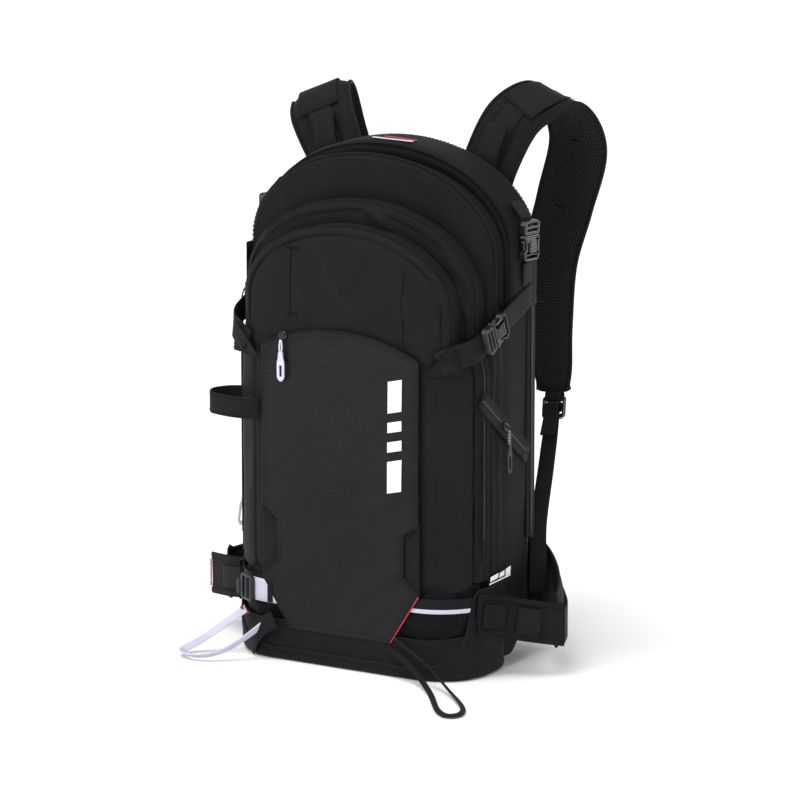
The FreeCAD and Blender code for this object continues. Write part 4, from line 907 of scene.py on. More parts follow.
def drape(obj, points, toward, lift):
    """Drops a line of points onto an object along a direction and stands it off by lift."""
    tree = bvhtree.BVHTree.FromPolygons([v.co for v in obj.data.vertices],
                                        [f.vertices for f in obj.data.polygons])
    toward = unit(np.asarray(toward, float))
    laid = []
    for point in points:
        start = Vector((np.asarray(point, float) - toward * 200) * MM)
        hit = tree.ray_cast(start, Vector(toward))[0]
        laid.append(np.array(hit) / MM - toward * lift if hit is not None else np.asarray(point, float))
    return np.array(laid)


def crease_all(x, z, creases):
    """Sum of the creases at places on a face."""
    h = np.zeros_like(x)
    for start, end, wide, high in creases:
        h += 1.7 * fold(x, z, start, end, wide, high)
    return h


def build_tool_pocket():
    """Front pocket behind the coated panel: plain face with a centre seam, and a flap over its zip."""
    creases = (
        ((-30, 452), (30, 372), 9, 2.0), ((2, 460), (62, 386), 8, 2.0), ((34, 450), (92, 380), 9, 2.4),
        ((60, 440), (104, 366), 7, 1.8), ((-60, 430), (-36, 372), 8, 1.2), ((-10, 420), (40, 376), 6, 1.2),
        ((70, 366), (118, 362), 4, 1.6), ((80, 352), (120, 344), 4, 1.5), ((84, 334), (122, 322), 4, 1.2),
        ((98, 300), (124, 190), 7, 1.0), ((-104, 300), (-116, 180), 7, 1.0), ((104, 150), (132, 120), 6, 1.4),
        ((-40, 462), (-16, 440), 5, 1.4), ((16, 466), (30, 446), 5, 1.4))

    def cloth(p):
        x, y, z = p[..., 0], p[..., 1].copy(), p[..., 2]
        front = np.clip((-36 - y) / 14, 0, 1)
        h = crease_all(x, z, creases) - fold(x, z, (-64, 470), (-64, 360), 1.6, 1.2)
        p[..., 1] = y - h * front
        low = np.clip((112 - z) / 16, 0, 1) * np.clip((-30 - y) / 20, 0, 1)
        p[..., 1] += low * low * 5
        return relax(p, 1.2, 34.0, 3)

    st = [(-55.4, 88, 92, 390, 444, 88), (-55.2, 98, 92, 394, 452, 97), (-54.0, 108, 92, 396, 458, 103),
          (-52.2, 114, 92, 396, 464, 107), (-50.4, 116.2, 92, 396, 467, 110),
          (-49.4, 117.4, 92, 396, 468.4, 111.4), (-50.3, 118.6, 92, 396, 469.6, 112.4),
          (-49.8, 121, 93, 396, 472, 115), (-47.6, 124.6, 94, 396, 475.3, 119),
          (-44.8, 127.2, 95, 396, 477.4, 123.5), (-42.4, 127.4, 96, 396, 477.2, 126.5),
          (-41.0, 125.4, 96, 396, 475, 128.5), (-38.5, 124.6, 97, 396, 474.3, 132),
          (-36, 126.4, 98, 396, 476, 135), (-31, 127.6, 101, 396, 477.4, 139.6),
          (-26.4, 127.6, 104, 396, 477.4, 142.6)]
    face = shell("tool_pocket_cloth", st, "plain", ["tool_pocket"], 30, 2.6, cloth)
    tube("tool_flap_edge", arch_line(-42.0, 127.4, 340, 396, 477.2, None, 0.1), 1.0, "piping", sides=8)
    tube("tool_zip_coil", arch_line(-38.7, 124.6, 340, 396, 474.3, None, 0.4), 1.5, "coil", sides=6)
    for y, half, top in ((-50.4, 119.2, 470.4), (-46.0, 126.4, 476.7)):
        stitches(f"tool_flap_stitch_{-y:.0f}", arch_line(y, half, 345, 396, top, None, 0.2), "thread",
                 radius=0.35)
    tube("tool_face_seam", arch_line(-49.7, 117.4, 345, 396, 468.4, None, 0.1), 0.7, "thread", sides=6)
    z = np.linspace(376, 452, 60)
    tube("pocket_centre_seam", drape(face, np.stack([0 * z - 64, 0 * z, z], axis=1), (0, 1, 0), 0.3), 0.55,
         "thread", sides=6)
    for at, (x0, x1) in ((380, (-67, -54)), (450, (-74, -53))):
        xs = np.linspace(x0, x1, 16)
        tube(f"pocket_bartack_{at}", drape(face, np.stack([xs, 0 * xs, 0 * xs + at], axis=1), (0, 1, 0), 0.4),
             0.9, "thread", sides=6)
    z = np.linspace(360, 440, 40)
    tube("pocket_side_seam", drape(face, np.stack([0 * z + 76, 0 * z, z], axis=1), (0, 1, 0), 0.2), 0.45,
         "thread", sides=6)


def build_front_pocket():
    """Middle pocket: its front seam is a raised double flap that runs on down the side."""
    creases = (
        ((8, 496), (40, 480), 5, 2.6), ((22, 492), (46, 472), 4, 2.4), ((-70, 488), (-20, 492), 6, 1.2),
        ((-132, 470), (-100, 440), 6, 1.5), ((100, 462), (128, 430), 6, 1.6),
        ((120, 430), (138, 380), 5, 1.4))

    def cloth(p):
        x, y, z = p[..., 0], p[..., 1].copy(), p[..., 2]
        p[..., 1] = y - crease_all(x, z, creases) * np.clip((-8 - y) / 10, 0, 1)
        p = relax(p, 1.4, 30.0, 5)
        side = np.clip((STRAP_Z - z) / 30, 0, 1)
        flat = p.reshape(-1, 3)
        p[..., 0] += np.sign(x) * side * 1.2 * cloth_noise(flat, 26, 17).reshape(x.shape)
        return p

    f = 106
    st = [(-25, 112, f, 399, 462, 141), (-25.4, 126, f, 402, 484, 142), (-24.6, 129, f, 403, 488, 142.4),
          (-23.4, 130.4, f, 403.5, 489.6, 142.6), (-24.2, 131.8, f, 404, 491, 143.4),
          (-24.0, 134.6, f, 404, 494, 144.8), (-21.4, 139, f, 404, 498.2, 147.4),
          (-18.4, 141.6, f, 404, 500.6, 149.0), (-15.6, 141.6, f, 404, 500.4, 149.0),
          (-14.0, 139.6, f, 404, 498.6, 147.2), (-10.5, 138.8, f, 404, 498, 146.8),
          (-8.0, 140.8, f, 404, 499.8, 148.0), (-5.6, 141.6, f, 404, 500.6, 149.4),
          (-2.4, 141.8, f, 404, 500.8, 149.8)]
    shell("front_pocket_cloth", st, "nylon", ["front_pocket"], 0, 0, cloth)
    tube("front_flap_edge", arch_line(-16.0, 141.6, 126, 404, 500.4, 149.0, 0.4), 1.2, "piping", sides=8)
    tube("front_flap_fold", arch_line(-23.8, 134.6, 126, 404, 494, 144.8, 0.4), 1.2, "piping", sides=8)
    tube("front_zip_coil", arch_line(-11.6, 138.8, 150, 404, 498, 146.8, 0.3), 1.6, "coil", sides=6)
    for y, half, top, low in ((-20.0, 140.4, 499.4, 148.2), (-23.4, 136.6, 495.8, 145.9)):
        stitches(f"front_flap_stitch_{-y:.0f}", arch_line(y, half, 130, 404, top, low, 0.2), "thread",
                 radius=0.35)


def build_main_body():
    """Main compartment: the rear flap and its zip, the gusset with tacks, and the sides."""
    creases = (
        ((-60, 532), (-24, 512), 6, 1.8), ((0, 536), (30, 512), 6, 2.0), ((-112, 500), (-88, 470), 6, 1.6),
        ((60, 532), (112, 480), 7, 1.8), ((100, 510), (135, 440), 6, 2.0), ((-30, 536), (-10, 516), 5, 1.2),
        ((30, 528), (64, 508), 5, 1.2))

    def cloth(p):
        x, y, z = p[..., 0], p[..., 1].copy(), p[..., 2]
        p[..., 1] = y - crease_all(x, z, creases) * np.clip((12 - y) / 14, 0, 1)
        low = np.clip((420 - z) / 60, 0, 1)
        recess = np.exp(-((y - 22) / 9.0) ** 2)
        flat = p.reshape(-1, 3)
        n = cloth_noise(flat, 46.0, 8).reshape(x.shape)
        side = (np.abs(x) > 125) & (z < 446)
        p[..., 0] += np.sign(x) * (recess * low * 9.6 + side * (n * 1.8 - 0.5))
        return p

    f = 14
    st = [(-1.6, 118, f, 404, 470), (-1.2, 136, f, 420, 506), (0.2, 141, f, 432, 524),
          (1.0, 143.6, f, 440, 535), (0.2, 144.8, f, 441, 536.6), (1.4, 146.2, f, 443, 541),
          (4.2, 148.6, f, 445, 545.2), (7.8, 149.2, f, 446, 546.6), (10.6, 147.0, f, 446, 544.2),
          (12.0, 143.6, f, 446, 541.2), (16, 140.5, f, 446, 537.4), (22, 139.6, f, 446, 536.2),
          (27, 140.6, f, 446, 537.4), (31, 145.0, f, 446, 541), (38, 149.4, f, 446, 544.4),
          (47, 150, 15, 446, 545), (58, 150, 26, 446, 545), (70, 150, 42, 446, 545),
          (80, 149.6, 54, 446, 545), (85.5, 147.4, 60, 446, 543), (87.6, 143.6, 62, 446, 539)]
    shell("main_cloth", st, "nylon", ["main_shell"], 0, 0, cloth)
    tube("main_flap_edge", arch_line(8.6, 149.3, 380, 446, 546.8, None, 0.1), 1.3, "piping", sides=8)
    tube("main_zip_coil", arch_line(13.4, 142.4, 380, 446, 540.0, None, 0.5), 1.7, "coil", sides=6)
    for y, half, top in ((4.4, 148.9, 545.4), (1.4, 146.6, 541.4)):
        stitches(f"main_flap_stitch_{y:.0f}", arch_line(y, half, 330, 446, top, None, 0.1), "thread",
                 radius=0.35)
    for a in (62, 38, 16):
        t = math.radians(a)
        mid = np.array([143.8 * math.cos(t), 20, 446 + 93 * math.sin(t)])
        stitches(f"gusset_tack_{a}", [mid + [0, -6, 0], mid + [0, 6, 0]], "thread", radius=0.5)


def build_rim():
    """The airbag compartment: a smooth padded tube over the top and shoulders of the bag."""
    def cloth(p):
        flat = p.reshape(-1, 3)
        n = cloth_noise(flat, 60.0, 13).reshape(p.shape[:2])
        centre = np.stack([0 * p[..., 0], 0 * p[..., 1], np.minimum(p[..., 2], 446.0)], axis=-1)
        out = p - centre
        out[..., 1] = 0
        return p + unit(out) * (n * 1.4)[..., None]

    f = 392
    st = [(33.5, 141, f, 446, 538), (31.4, 146, f, 447, 544), (31.0, 150, f, 449, 549),
          (32.6, 153.6, f, 451, 553.4), (37, 155.4, f, 452, 556.2), (45, 156.4, f, 452, 557.8),
          (55, 156.7, f, 452, 558.2), (66, 156.7, f, 452, 558.2), (76, 156.6, f, 452, 558.2),
          (84, 156.0, f, 452, 557.4), (89.4, 153.4, f, 451, 554.4), (91.4, 147.0, f, 448, 547.4),
          (91.6, 141.0, f, 446, 541.4)]
    shell("airbag_cover_cloth", st, "nylon", ["airbag_cover"], 0, 0, cloth)
    stitches("rim_front_stitch", arch_line(35.0, 154.6, 396, 451, 554.8, None, 0.0), "thread", radius=0.35)
    stitches("rim_back_stitch", arch_line(86.0, 155.2, 396, 452, 556.4, None, 0.0), "thread", radius=0.35)
    for side in (-1, 1):
        x = side * 154.6
        webbing(f"rim_foot_tape_{side + 1}", [(x, 34, 395), (x + side * 2.4, 60, 394),
                                              (x - side * 1.0, 87, 395)], 12,
                (side, 0, 0), 1.4)


def zip_teeth(name, path, side, replaces=(), wide=4.6, high=1.6):
    """A toothed zip chain: alternate teeth from both tapes along a line."""
    pitch = 2.4
    path = smooth_path(path, pitch / 2)
    t = tangents(path)
    out = unit(np.broadcast_to(np.asarray(side, float), path.shape))
    across = unit(np.cross(t, out))
    verts, faces = [], []
    for i in range(len(path) - 1):
        half = -1 if i % 2 else 1
        base = len(verts)
        for du in (-0.34, 0.34):
            for dv in (-0.25, 1.0):
                for dw in (0, 1):
                    verts.append(path[i] + t[i] * du * pitch + across[i] * half * dv * wide / 2
                                 + out[i] * dw * high)
        faces += [tuple(base + k for k in q) for q in
                  ((0, 1, 3, 2), (4, 6, 7, 5), (0, 4, 5, 1), (2, 3, 7, 6), (1, 5, 7, 3), (0, 2, 6, 4))]
    return finish_piece(recalc(mesh_object(name, verts, faces, smooth=False)), "coil", replaces=replaces)


def build_zips():
    """Toothed chains on the sides, and the lips of the slanted side pocket."""
    for side in (-1, 1):
        x = side * 150.6
        line = [(x, 82.5, 135), (x, 82.5, 270), (x, 82.5, 388)]
        webbing(f"back_zip_tape_{side + 1}", line, 17, (side, 0, 0), 0.7, step=12)
        zip_teeth(f"back_zip_chain_{side + 1}", line, (side, 0, 0))
    zip_teeth("main_zip_left_run", [(-150.4, 1.5, 152), (-150.4, 1.5, 280), (-150.4, 1.5, 440)], (-1, 0, 0),
              ["zipper_chains"])
    webbing("main_zip_left_tape", [(-150.2, 1.5, 150), (-150.2, 1.5, 280), (-150.2, 1.5, 440)], 15,
            (-1, 0, 0), 0.7, step=12)
    a = math.radians(-38)
    along, across = np.array([0, math.cos(a), math.sin(a)]), np.array([0, -math.sin(a), math.cos(a)])
    start = np.array([150.9, -22, 300]) + across * 3
    for k, off in enumerate((-5.6, 5.6)):
        line = [start + along * d + across * off for d in (-4, 40, 80, 124)]
        webbing(f"side_zip_lip_{k}", line, 9.6, (1, 0, 0), 1.2, mat="piping", step=10)
        stitches(f"side_zip_stitch_{k}", [p + np.array([0.8, 0, 0]) + across * off * 0.5 for p in line],
                 "thread", radius=0.3)
    zip_teeth("side_zip_chain", [start + along * d for d in (0, 40, 80, 118)], (1, 0, 0), wide=3.2, high=1.0)


# ------------------------------------------------------------------ cushions: straps and hip wings

def cushion(name, centre, across, normal, half, rise, sink, body, replaces, seed, wrinkle, creases):
    """A padded band: nylon outside, mesh inside, its edges bound with tape.

    centre, across, normal and half are given at each station along it.
    """
    n = len(centre)
    s = np.linspace(-1, 1, 25)
    end = np.minimum(np.arange(n), np.arange(n)[::-1]) / 3.0
    end = np.sqrt(np.clip(end, 0.0, 1))
    for label, mat, high, power, sign in (("outer", "nylon", rise, 2.6, 1), ("inner", "mesh", sink, 4.0, -1)):
        h = (1 - np.abs(s) ** power)[None, :] * end[:, None] * high
        grid = centre[:, None] + across[:, None] * (half[:, None, None] * s[None, :, None])
        if sign > 0:
            flat = grid.reshape(-1, 3)
            ripple = cloth_noise(flat, 26, seed).reshape(n, len(s)) * wrinkle
            h = h + ripple * (1 - s ** 2)[None, :]
            u = np.broadcast_to(s[None, :] * half[:, None], h.shape)
            v = np.broadcast_to(np.linspace(0, 1, n)[:, None] * 100, h.shape)
            for start, stop, wide, high_c in creases:
                h = h + fold(u, v, start, stop, wide, high_c)
        grid = grid + normal[:, None] * (sign * h)[..., None]
        obj = mesh_object(f"{name}_{label}", grid.reshape(-1, 3), grid_faces(n, len(s)), grid_uv(grid))
        recalc(obj)
        modify(obj, "SUBSURF", levels=1)
        apply_all(obj)
        finish_piece(obj, mat, body, replaces if sign > 0 else ())
    loop = np.vstack([centre + across * half[:, None], (centre - across * half[:, None])[::-1]])
    tape = np.vstack([loop, loop[:2]])
    tube(f"{name}_binding", smooth_path(tape, 4.0), 2.1, "piping", body, sides=8)


def station_frames(stations):
    """Centre, across, inward normal and half width along a strap's stations."""
    st = np.array(stations, float)
    line = smooth_path(st, 1.0)
    run = lengths(line[:, :3])
    even = np.linspace(0, run[-1], int(run[-1] / 6.0))
    line = np.stack([np.interp(even, run, line[:, k]) for k in range(6)], axis=1)
    centre, width = line[:, :3], line[:, 3]
    b, g = np.radians(line[:, 4]), np.radians(line[:, 5])
    outward = 1 if st[0, 0] > 0 else -1
    across = np.stack([outward * np.cos(b) * np.cos(g), -np.cos(b) * np.sin(g), -np.sin(b)], axis=1)
    t = tangents(centre)
    across = unit(across - t * np.sum(across * t, axis=1)[:, None])
    inward = outward * np.cross(t, across)
    return centre, across, -inward, width / 2, even


STRAP_RIGHT = [(70, 104, 448, 58, 0, 0), (77, 104, 490, 64, 0, 0), (86, 107, 530, 68, 2, 0),
               (104, 130, 580, 70, 10, 0), (131, 164, 594, 71, 17, 0), (147, 188, 548, 72, 12, 0),
               (128, 194, 478, 70, 6, 0), (114, 188, 415, 67, 2, 0), (116, 181, 345, 60, 0, 0),
               (125, 175, 299, 48, 0, 0), (127.6, 172.4, 276, 38, 0, 0)]
STRAP_LEFT = [(-70, 104, 448, 58, 0, 0), (-88, 104, 490, 64, 2, 0), (-108, 107, 527, 69, 6, 2),
              (-136, 124, 566, 72, 16, 12), (-154, 156, 578, 73, 24, 14), (-156, 184, 540, 72, 14, 8),
              (-138, 193, 474, 70, 6, 2), (-122, 188, 415, 67, 2, 0), (-118, 181, 345, 60, 0, 0),
              (-126, 175, 299, 48, 0, 0), (-127.6, 172.4, 276, 38, 0, 0)]


def surface_line(frames, start, stop, lift, shift=0.0):
    """Points above a strap's outer face between two distances along it, and the outward direction."""
    centre, across, out, _, run = frames
    pick = (run >= start) & (run <= stop)
    return centre[pick] + out[pick] * lift + across[pick] * shift, out[pick]


def build_shoulder_straps():
    """Both padded straps with their webbing, patches, stitching and slots in the mesh."""
    for label, stations in (("right", STRAP_RIGHT), ("left", STRAP_LEFT)):
        frames = station_frames(stations)
        centre, across, out, half, run = frames
        cushion(f"shoulder_{label}", centre, across, out, half - 2.0, 7.6, 5.0, "pack",
                seed=3 if label == "right" else 9, replaces=[f"shoulder_strap_{label}"], wrinkle=1.3,
                creases=(((16, 8), (30, 20), 4, 1.6), ((-16, 12), (-30, 24), 4, 1.4),
                         ((17, 24), (30, 36), 4, 1.6), ((-17, 30), (-30, 40), 4, 1.2),
                         ((16, 48), (28, 60), 4, 1.2)))
        total = run[-1]
        apex = total * 0.30
        for name, a, b, lift in (("lower", 14, apex - 10, 7.9), ("upper", apex + 26, total - 8, 7.6)):
            path, face = surface_line(frames, a, b, lift)
            sweep(f"strap_web_{name}_{label}", path, np.cross(face, tangents(path)), web_section(25, 1.6),
                  "web")
            for side in (-1, 1):
                line, _ = surface_line(frames, a, b, lift - 0.2, side * 15.5)
                stitches(f"strap_seam_{name}_{label}_{side + 1}", line, "thread", radius=0.4)
        path, face = surface_line(frames, apex - 16, apex + 34, 8.4)
        sweep(f"strap_patch_{label}", path, np.cross(face, tangents(path)), web_section(46, 1.6, 0.6),
              "plain")
        for edge in (-15, 33):
            path, face = surface_line(frames, apex + edge - 2, apex + edge + 6, 9.3)
            mid = path[len(path) // 2]
            cross = across[np.argmin(np.abs(run - apex - edge))]
            stitches(f"strap_patch_stitch_{label}_{edge}", [mid - cross * 21, mid + cross * 21], "thread",
                     radius=0.45)
        # two sewn slots in the mesh
        for at in (0.47, 0.62):
            i = int(at * len(run))
            p = centre[i] - out[i] * 5.4
            stitches(f"strap_mesh_tack_{label}_{at * 100:.0f}", [p - across[i] * 7, p + across[i] * 7],
                     "thread", long=12, gap=3, radius=1.2)


WING_PLAN = [(104, 123), (146, 119.5), (172, 102), (192, 72), (206, 42)]


def build_hip_wings():
    """Padded wings of the hip belt."""
    for label, side in (("right", 1), ("left", -1)):
        line = smooth_path(np.array(WING_PLAN, float), 5.0)
        x, y = line[:, 0] * side, line[:, 1]
        top = np.interp(line[:, 0], [100, 118, 135, 150, 163, 178, 192, 207],
                        [126, 128, 124, 117, 108, 97, 87, 83])
        low = np.interp(line[:, 0], [100, 180, 207], [27, 29, 33])
        centre = np.stack([x, y, (top + low) / 2], axis=1)
        half = (top - low) / 2
        t = tangents(np.stack([x, y, 0 * x], axis=1))
        out = unit(np.cross(t, [0, 0, 1.0]) * side)
        across = upright(centre)
        cushion(f"hip_wing_{label}", centre, across, out, half, 7.0, 6.0, f"hip_side_{label}", seed=15 + side,
                replaces=[f"hip_wing_{label}"], wrinkle=1.4,
                creases=(((-10, 20), (30, 34), 6, 1.6), ((10, 10), (36, 20), 5, 1.6),
                         ((-30, 30), (10, 46), 6, 1.2)))
        for inset in (5.5, 8.5):
            stitches(f"hip_wing_stitch_{label}_{inset:.0f}",
                     centre + across * (half - inset)[:, None] + out * 4.2, "thread",
                     body=f"hip_side_{label}", radius=0.35)


def band_points(side):
    """Plan line of a side band, from the bag to its end."""
    line = smooth_path(np.array([(148.6, -24), (154.0, -3), (186, 12), (221, 33)], float), 3.0)
    return np.stack([line[:, 0] * side, line[:, 1]], axis=1)


def build_stabilisers():
    """Side bands that pull the hip belt in: a wide cloth band with a hem above and below, and a keeper."""
    for label, side in (("right", 1), ("left", -1)):
        xy = band_points(side)
        run = lengths(xy)
        f = run / run[-1]
        low, high = 50 - 15 * f ** 0.8, 93 - 12 * f
        t = tangents(np.hstack([xy, np.zeros((len(xy), 1))]))
        out = unit(np.cross(t, [0, 0, 1.0]) * side)
        out = np.where((np.sum(out * [side, -0.2, 0], axis=1) < 0)[:, None], -out, out)
        rows = []
        for v in np.linspace(0, 1, 22):
            z = low + (high - low) * v
            hem = 1.4 * (math.exp(-((v - 0.07) / 0.07) ** 2) + math.exp(-((v - 0.93) / 0.07) ** 2))
            rows.append(np.stack([xy[:, 0], xy[:, 1], z], axis=1) + out * hem)
        grid = np.array(rows)
        n = cloth_noise(grid.reshape(-1, 3), 22, 4).reshape(grid.shape[:2])
        grid = grid + out[None] * (n * 0.5)[..., None]
        obj = recalc(grid_object(f"stabiliser_{label}_cloth", grid))
        modify(obj, "SOLIDIFY", thickness=2.2 * MM, offset=0.0)
        apply_all(obj)
        finish_piece(obj, "boot", replaces=["stabilisers"] if side > 0 else ())
        for v in (0.02, 0.14, 0.86, 0.98):
            z = low + (high - low) * v
            line = np.stack([xy[:, 0], xy[:, 1], z], axis=1) + out * 2.2
            stitches(f"stabiliser_stitch_{label}_{v * 100:.0f}", line, "thread", radius=0.4)
        mid = (low + high) / 2 - 1
        line = np.stack([xy[:, 0], xy[:, 1], mid], axis=1) + out * 2.2
        pick = slice(2, int(len(line) * 0.42)) if side > 0 else slice(2, int(len(line) * 0.7))
        sweep(f"stabiliser_web_{label}", line[pick], np.broadcast_to([0, 0, 1.0], line[pick].shape),
              web_section(25, 1.6), "web")
        if side > 0:
            i = int(len(line) * 0.5)
            sweep("stabiliser_keeper", line[i:i + 9] + out[i:i + 9] * 2.2,
                  np.broadcast_to([0, 0, 1.0], line[i:i + 9].shape), web_section(30, 1.4), "web")
        else:
            end = np.array([[xy[-1, 0], xy[-1, 1], zz] for zz in np.linspace(low[-1] + 8, high[-1] - 8,
                                                                             16)]) + out[-1] * 2.2
            end[::2] += t[-1] * 1.6
            tube("stabiliser_bartack", end, 0.9, "red", sides=6)


# ------------------------------------------------------------------ moulded hardware

def buckle_female(name, at, mat, body, node):
    """Socket of a side-release buckle: waisted shell, finger windows and a raised grip."""
    outline = rounded([(-27, -13.5), (-19, -15.4), (-16.5, -11.8), (-6, -11.8), (-3.4, -15.2), (0, -14.4),
                       (0, 14.4), (-3.4, 15.2), (-6, 11.8), (-16.5, 11.8), (-19, 15.4), (-27, 13.5)], 2.6)
    slot = rounded([(-24.6, -11), (-21.6, -11), (-21.6, 11), (-24.6, 11)], 1.0)
    plate(name, outline, 9.0, at, mat, body, [slot], 1.7, [node])
    ridge = rounded([(-18.5, -7.6), (-4, -6.2), (-4, 6.2), (-18.5, 7.6)], 2.0)
    for k, sign in enumerate((1, -1)):
        plate(f"{name}_crown_{k}", ridge, 1.6, at @ Matrix.Translation((0, 0, sign * 4.5 * MM)), mat, body,
              (), 0.7)
    for k in range(3):
        bar = rounded([(-17 + 4 * k, -5.4), (-15.4 + 4 * k, -5.4), (-15.4 + 4 * k, 5.4), (-17 + 4 * k, 5.4)],
                      0.5)
        plate(f"{name}_grip_{k}", bar, 0.9, at @ Matrix.Translation((0, 0, 5.4 * MM)), mat, body, (), 0.3)


def buckle_male(name, at, mat, body, node):
    """Clip of a side-release buckle: webbing bar, shoulders and two sprung prongs."""
    outline = rounded([(0.4, -14.6), (12.4, -15.4), (15.4, -13), (15.4, 13), (12.4, 15.4), (0.4, 14.6)], 2.2)
    slots = [rounded([(4.0, -11), (6.6, -11), (6.6, 11), (4.0, 11)], 0.8),
             rounded([(9.6, -11), (12.4, -11), (12.4, 11), (9.6, 11)], 0.8)]
    plate(name, outline, 7.8, at, mat, body, slots, 1.5, [node])
    for side in (-1, 1):
        prong = [(0.8, side * 9), (-13, side * 9.4), (-16.6, side * 11), (-17.2, side * 12.4),
                 (-13.6, side * 14.9), (-7, side * 14.9), (-4.4, side * 12.6), (0.8, side * 12.6)]
        if side < 0:
            prong = prong[::-1]
        plate(f"{name}_prong_{side + 1}", rounded(prong, 1.2), 4.4, at, mat, body, (), 0.8)
    plate(f"{name}_tongue", rounded([(0.8, -2.4), (0.8, 2.4), (-13, 2.0), (-13, -2.0)], 0.8), 3.6, at, mat,
          body, (), 0.6)


def ladder_lock(name, at, mat, body, node):
    """Flat buckle with two slots, a middle bar and a lip to tilt it by. It stands off its place by lift."""
    lift = 2.5
    outline = rounded([(-12, -14.5), (12, -14.5), (12, 14.5), (-12, 14.5)], [4, 4.6, 4.6, 4])
    slots = [rounded([(-7.9, -11.2), (-2.9, -11.2), (-2.9, 11.2), (-7.9, 11.2)], 1.4),
             rounded([(2.5, -11.2), (7.5, -11.2), (7.5, 11.2), (2.5, 11.2)], 1.4)]
    move = Matrix.Translation((0, 0, lift * MM))
    plate(name, outline, 4.6, at @ move, mat, body, slots, 1.3, [node] if node else ())
    lip = rounded([(7.6, -9), (12.6, -8), (12.6, 8), (7.6, 9)], 2)
    plate(f"{name}_lip", lip, 2.6, at @ Matrix.Translation((0, 0, (lift + 3.0) * MM)) @ Matrix.Rotation(-0.25,
            4, "Y"),
          mat, body, (), 0.9)
    for k, x in enumerate((-9.9, -0.2)):
        bar = rounded([(x - 1.6, -11.6), (x + 1.6, -11.6), (x + 1.6, 11.6), (x - 1.6, 11.6)], 1.0)
        plate(f"{name}_bar_{k}", bar, 4.0, at @ Matrix.Translation((0, 0, (lift + 1.3) * MM)), mat, body, (),
              1.0)


def mirrored_spec(spec):
    """A placement seen in the mirror plane of the pack."""
    return [(-v[0], v[1], v[2]) for v in spec]


SIDE_AXIS = (0, -0.93, -0.37)
SIDE_BUCKLES = {"right": ((158.2, -11.8, 371), SIDE_AXIS, (1, 0, 0)),
                "left": ((162.2, 42, 393), SIDE_AXIS, (1, 0, 0))}
RIM_BUCKLE = ((162.2, 58, 468), (0.0, 0.05, 1), (1, 0, 0))
LOWER_LOCK = ((130.1, 166.7, 258.2), (0.14, -0.35, -0.92), (0.1, 0.94, -0.34))
# In a lower lock's own axes: the adjusting web and its tail round the middle bar,
# and the strap's tab round the top bar.
LOCK_WEB = ((32, 0, -8.4), (13, 0, -4.0), (5, 0, -3.1), (-2.2, 0, -2.4), (-4.7, 0, 0.6), (-4.2, 0, 4.4),
            (-0.2, 0, 7.1), (3.6, 0, 5.2), (5.2, 0, 1.6), (9.6, 0, -0.9))
LOCK_TAB = ((-31, 0, 3.2), (-20, 0, 4.8), (-13, 0, 6.6), (-9.9, 0, 7.2), (-7.2, 0, 5.0), (-6.9, 0, 1.4),
            (-8.6, 0, -1.0), (-13, 0, -1.6), (-20, 0, -0.4), (-31, 0, 1.2))
UPPER_LOCKS = [((84, 97.9, 519), (0.2, 0.06, 0.97), (0.05, -1, 0.06)),
               ((-103, 97.9, 517), (-0.4, 0.06, 0.9), (-0.05, -1, 0.06))]


def build_hardware():
    """Every buckle and ladder lock, each half on its own body."""
    for side in ("right", "left"):
        for kind, spec in (("side", SIDE_BUCKLES[side]), ("rim", RIM_BUCKLE)):
            at = place(*(spec if side == "right" else mirrored_spec(spec)))
            mat = "gloss" if kind == "rim" else "plastic"
            buckle_female(f"{kind}_socket_{side}", at, mat, "pack", f"{kind}_buckle_female_{side}")
            buckle_male(f"{kind}_clip_{side}_body", at, mat, f"{kind}_clip_{side}",
                        f"{kind}_buckle_male_{side}")
        spec = LOWER_LOCK if side == "right" else mirrored_spec(LOWER_LOCK)
        ladder_lock(f"lower_lock_{side}_body", place(*spec), "gloss", f"lower_lock_{side}",
                    f"lower_ladder_lock_{side}")
    at = place((0, 196, 378), (1, 0, 0), (0, 1, 0))
    buckle_female("sternum_socket", at, "plastic", "sternum_strap", "sternum_buckle_female")
    buckle_male("sternum_clip_body", at, "plastic", "sternum_clip", "sternum_buckle_male")
    buckle_female("hip_socket", place((94.5, 193.5, 52), (-1, 0.25, 0), (0.25, 1, 0)), "plastic",
                  "hip_side_right", "hip_buckle_female")
    buckle_male("hip_clip", place((-95, 192.3, 52), (-1, -0.25, 0), (-0.25, 1, 0)), "plastic",
                "hip_side_left", "hip_buckle_male")
    for i, spec in enumerate(UPPER_LOCKS):
        ladder_lock(f"load_lifter_lock_{i}", place(*spec), "gloss", "pack",
                    "load_lifter_locks" if i == 0 else None)
    turn = math.radians(28.5)
    flat = BOOT_HIGH[0] - BOOT_CORNER
    reach = BOOT_CORNER + 1.5
    x, y = flat + reach * math.sin(turn), FRONT_Y + BOOT_CORNER - reach * math.cos(turn)
    at = place((-x, y, 74), (-math.cos(turn), math.sin(turn), 0), (-math.sin(turn), -math.cos(turn), 0))
    ladder_lock("ski_carry_lock_body", at, "plastic", "pack", "ski_carry_lock")


# ------------------------------------------------------------------ webbing

def hip_web(name, plan, body, node):
    """Webbing of the hip belt, upright along a plan line."""
    line = smooth_path(np.array([(x, y, 52) for x, y in plan], float), 3.0)
    sweep(name, line, upright(line), web_section(38, 1.8), "web", body, replaces=[node])


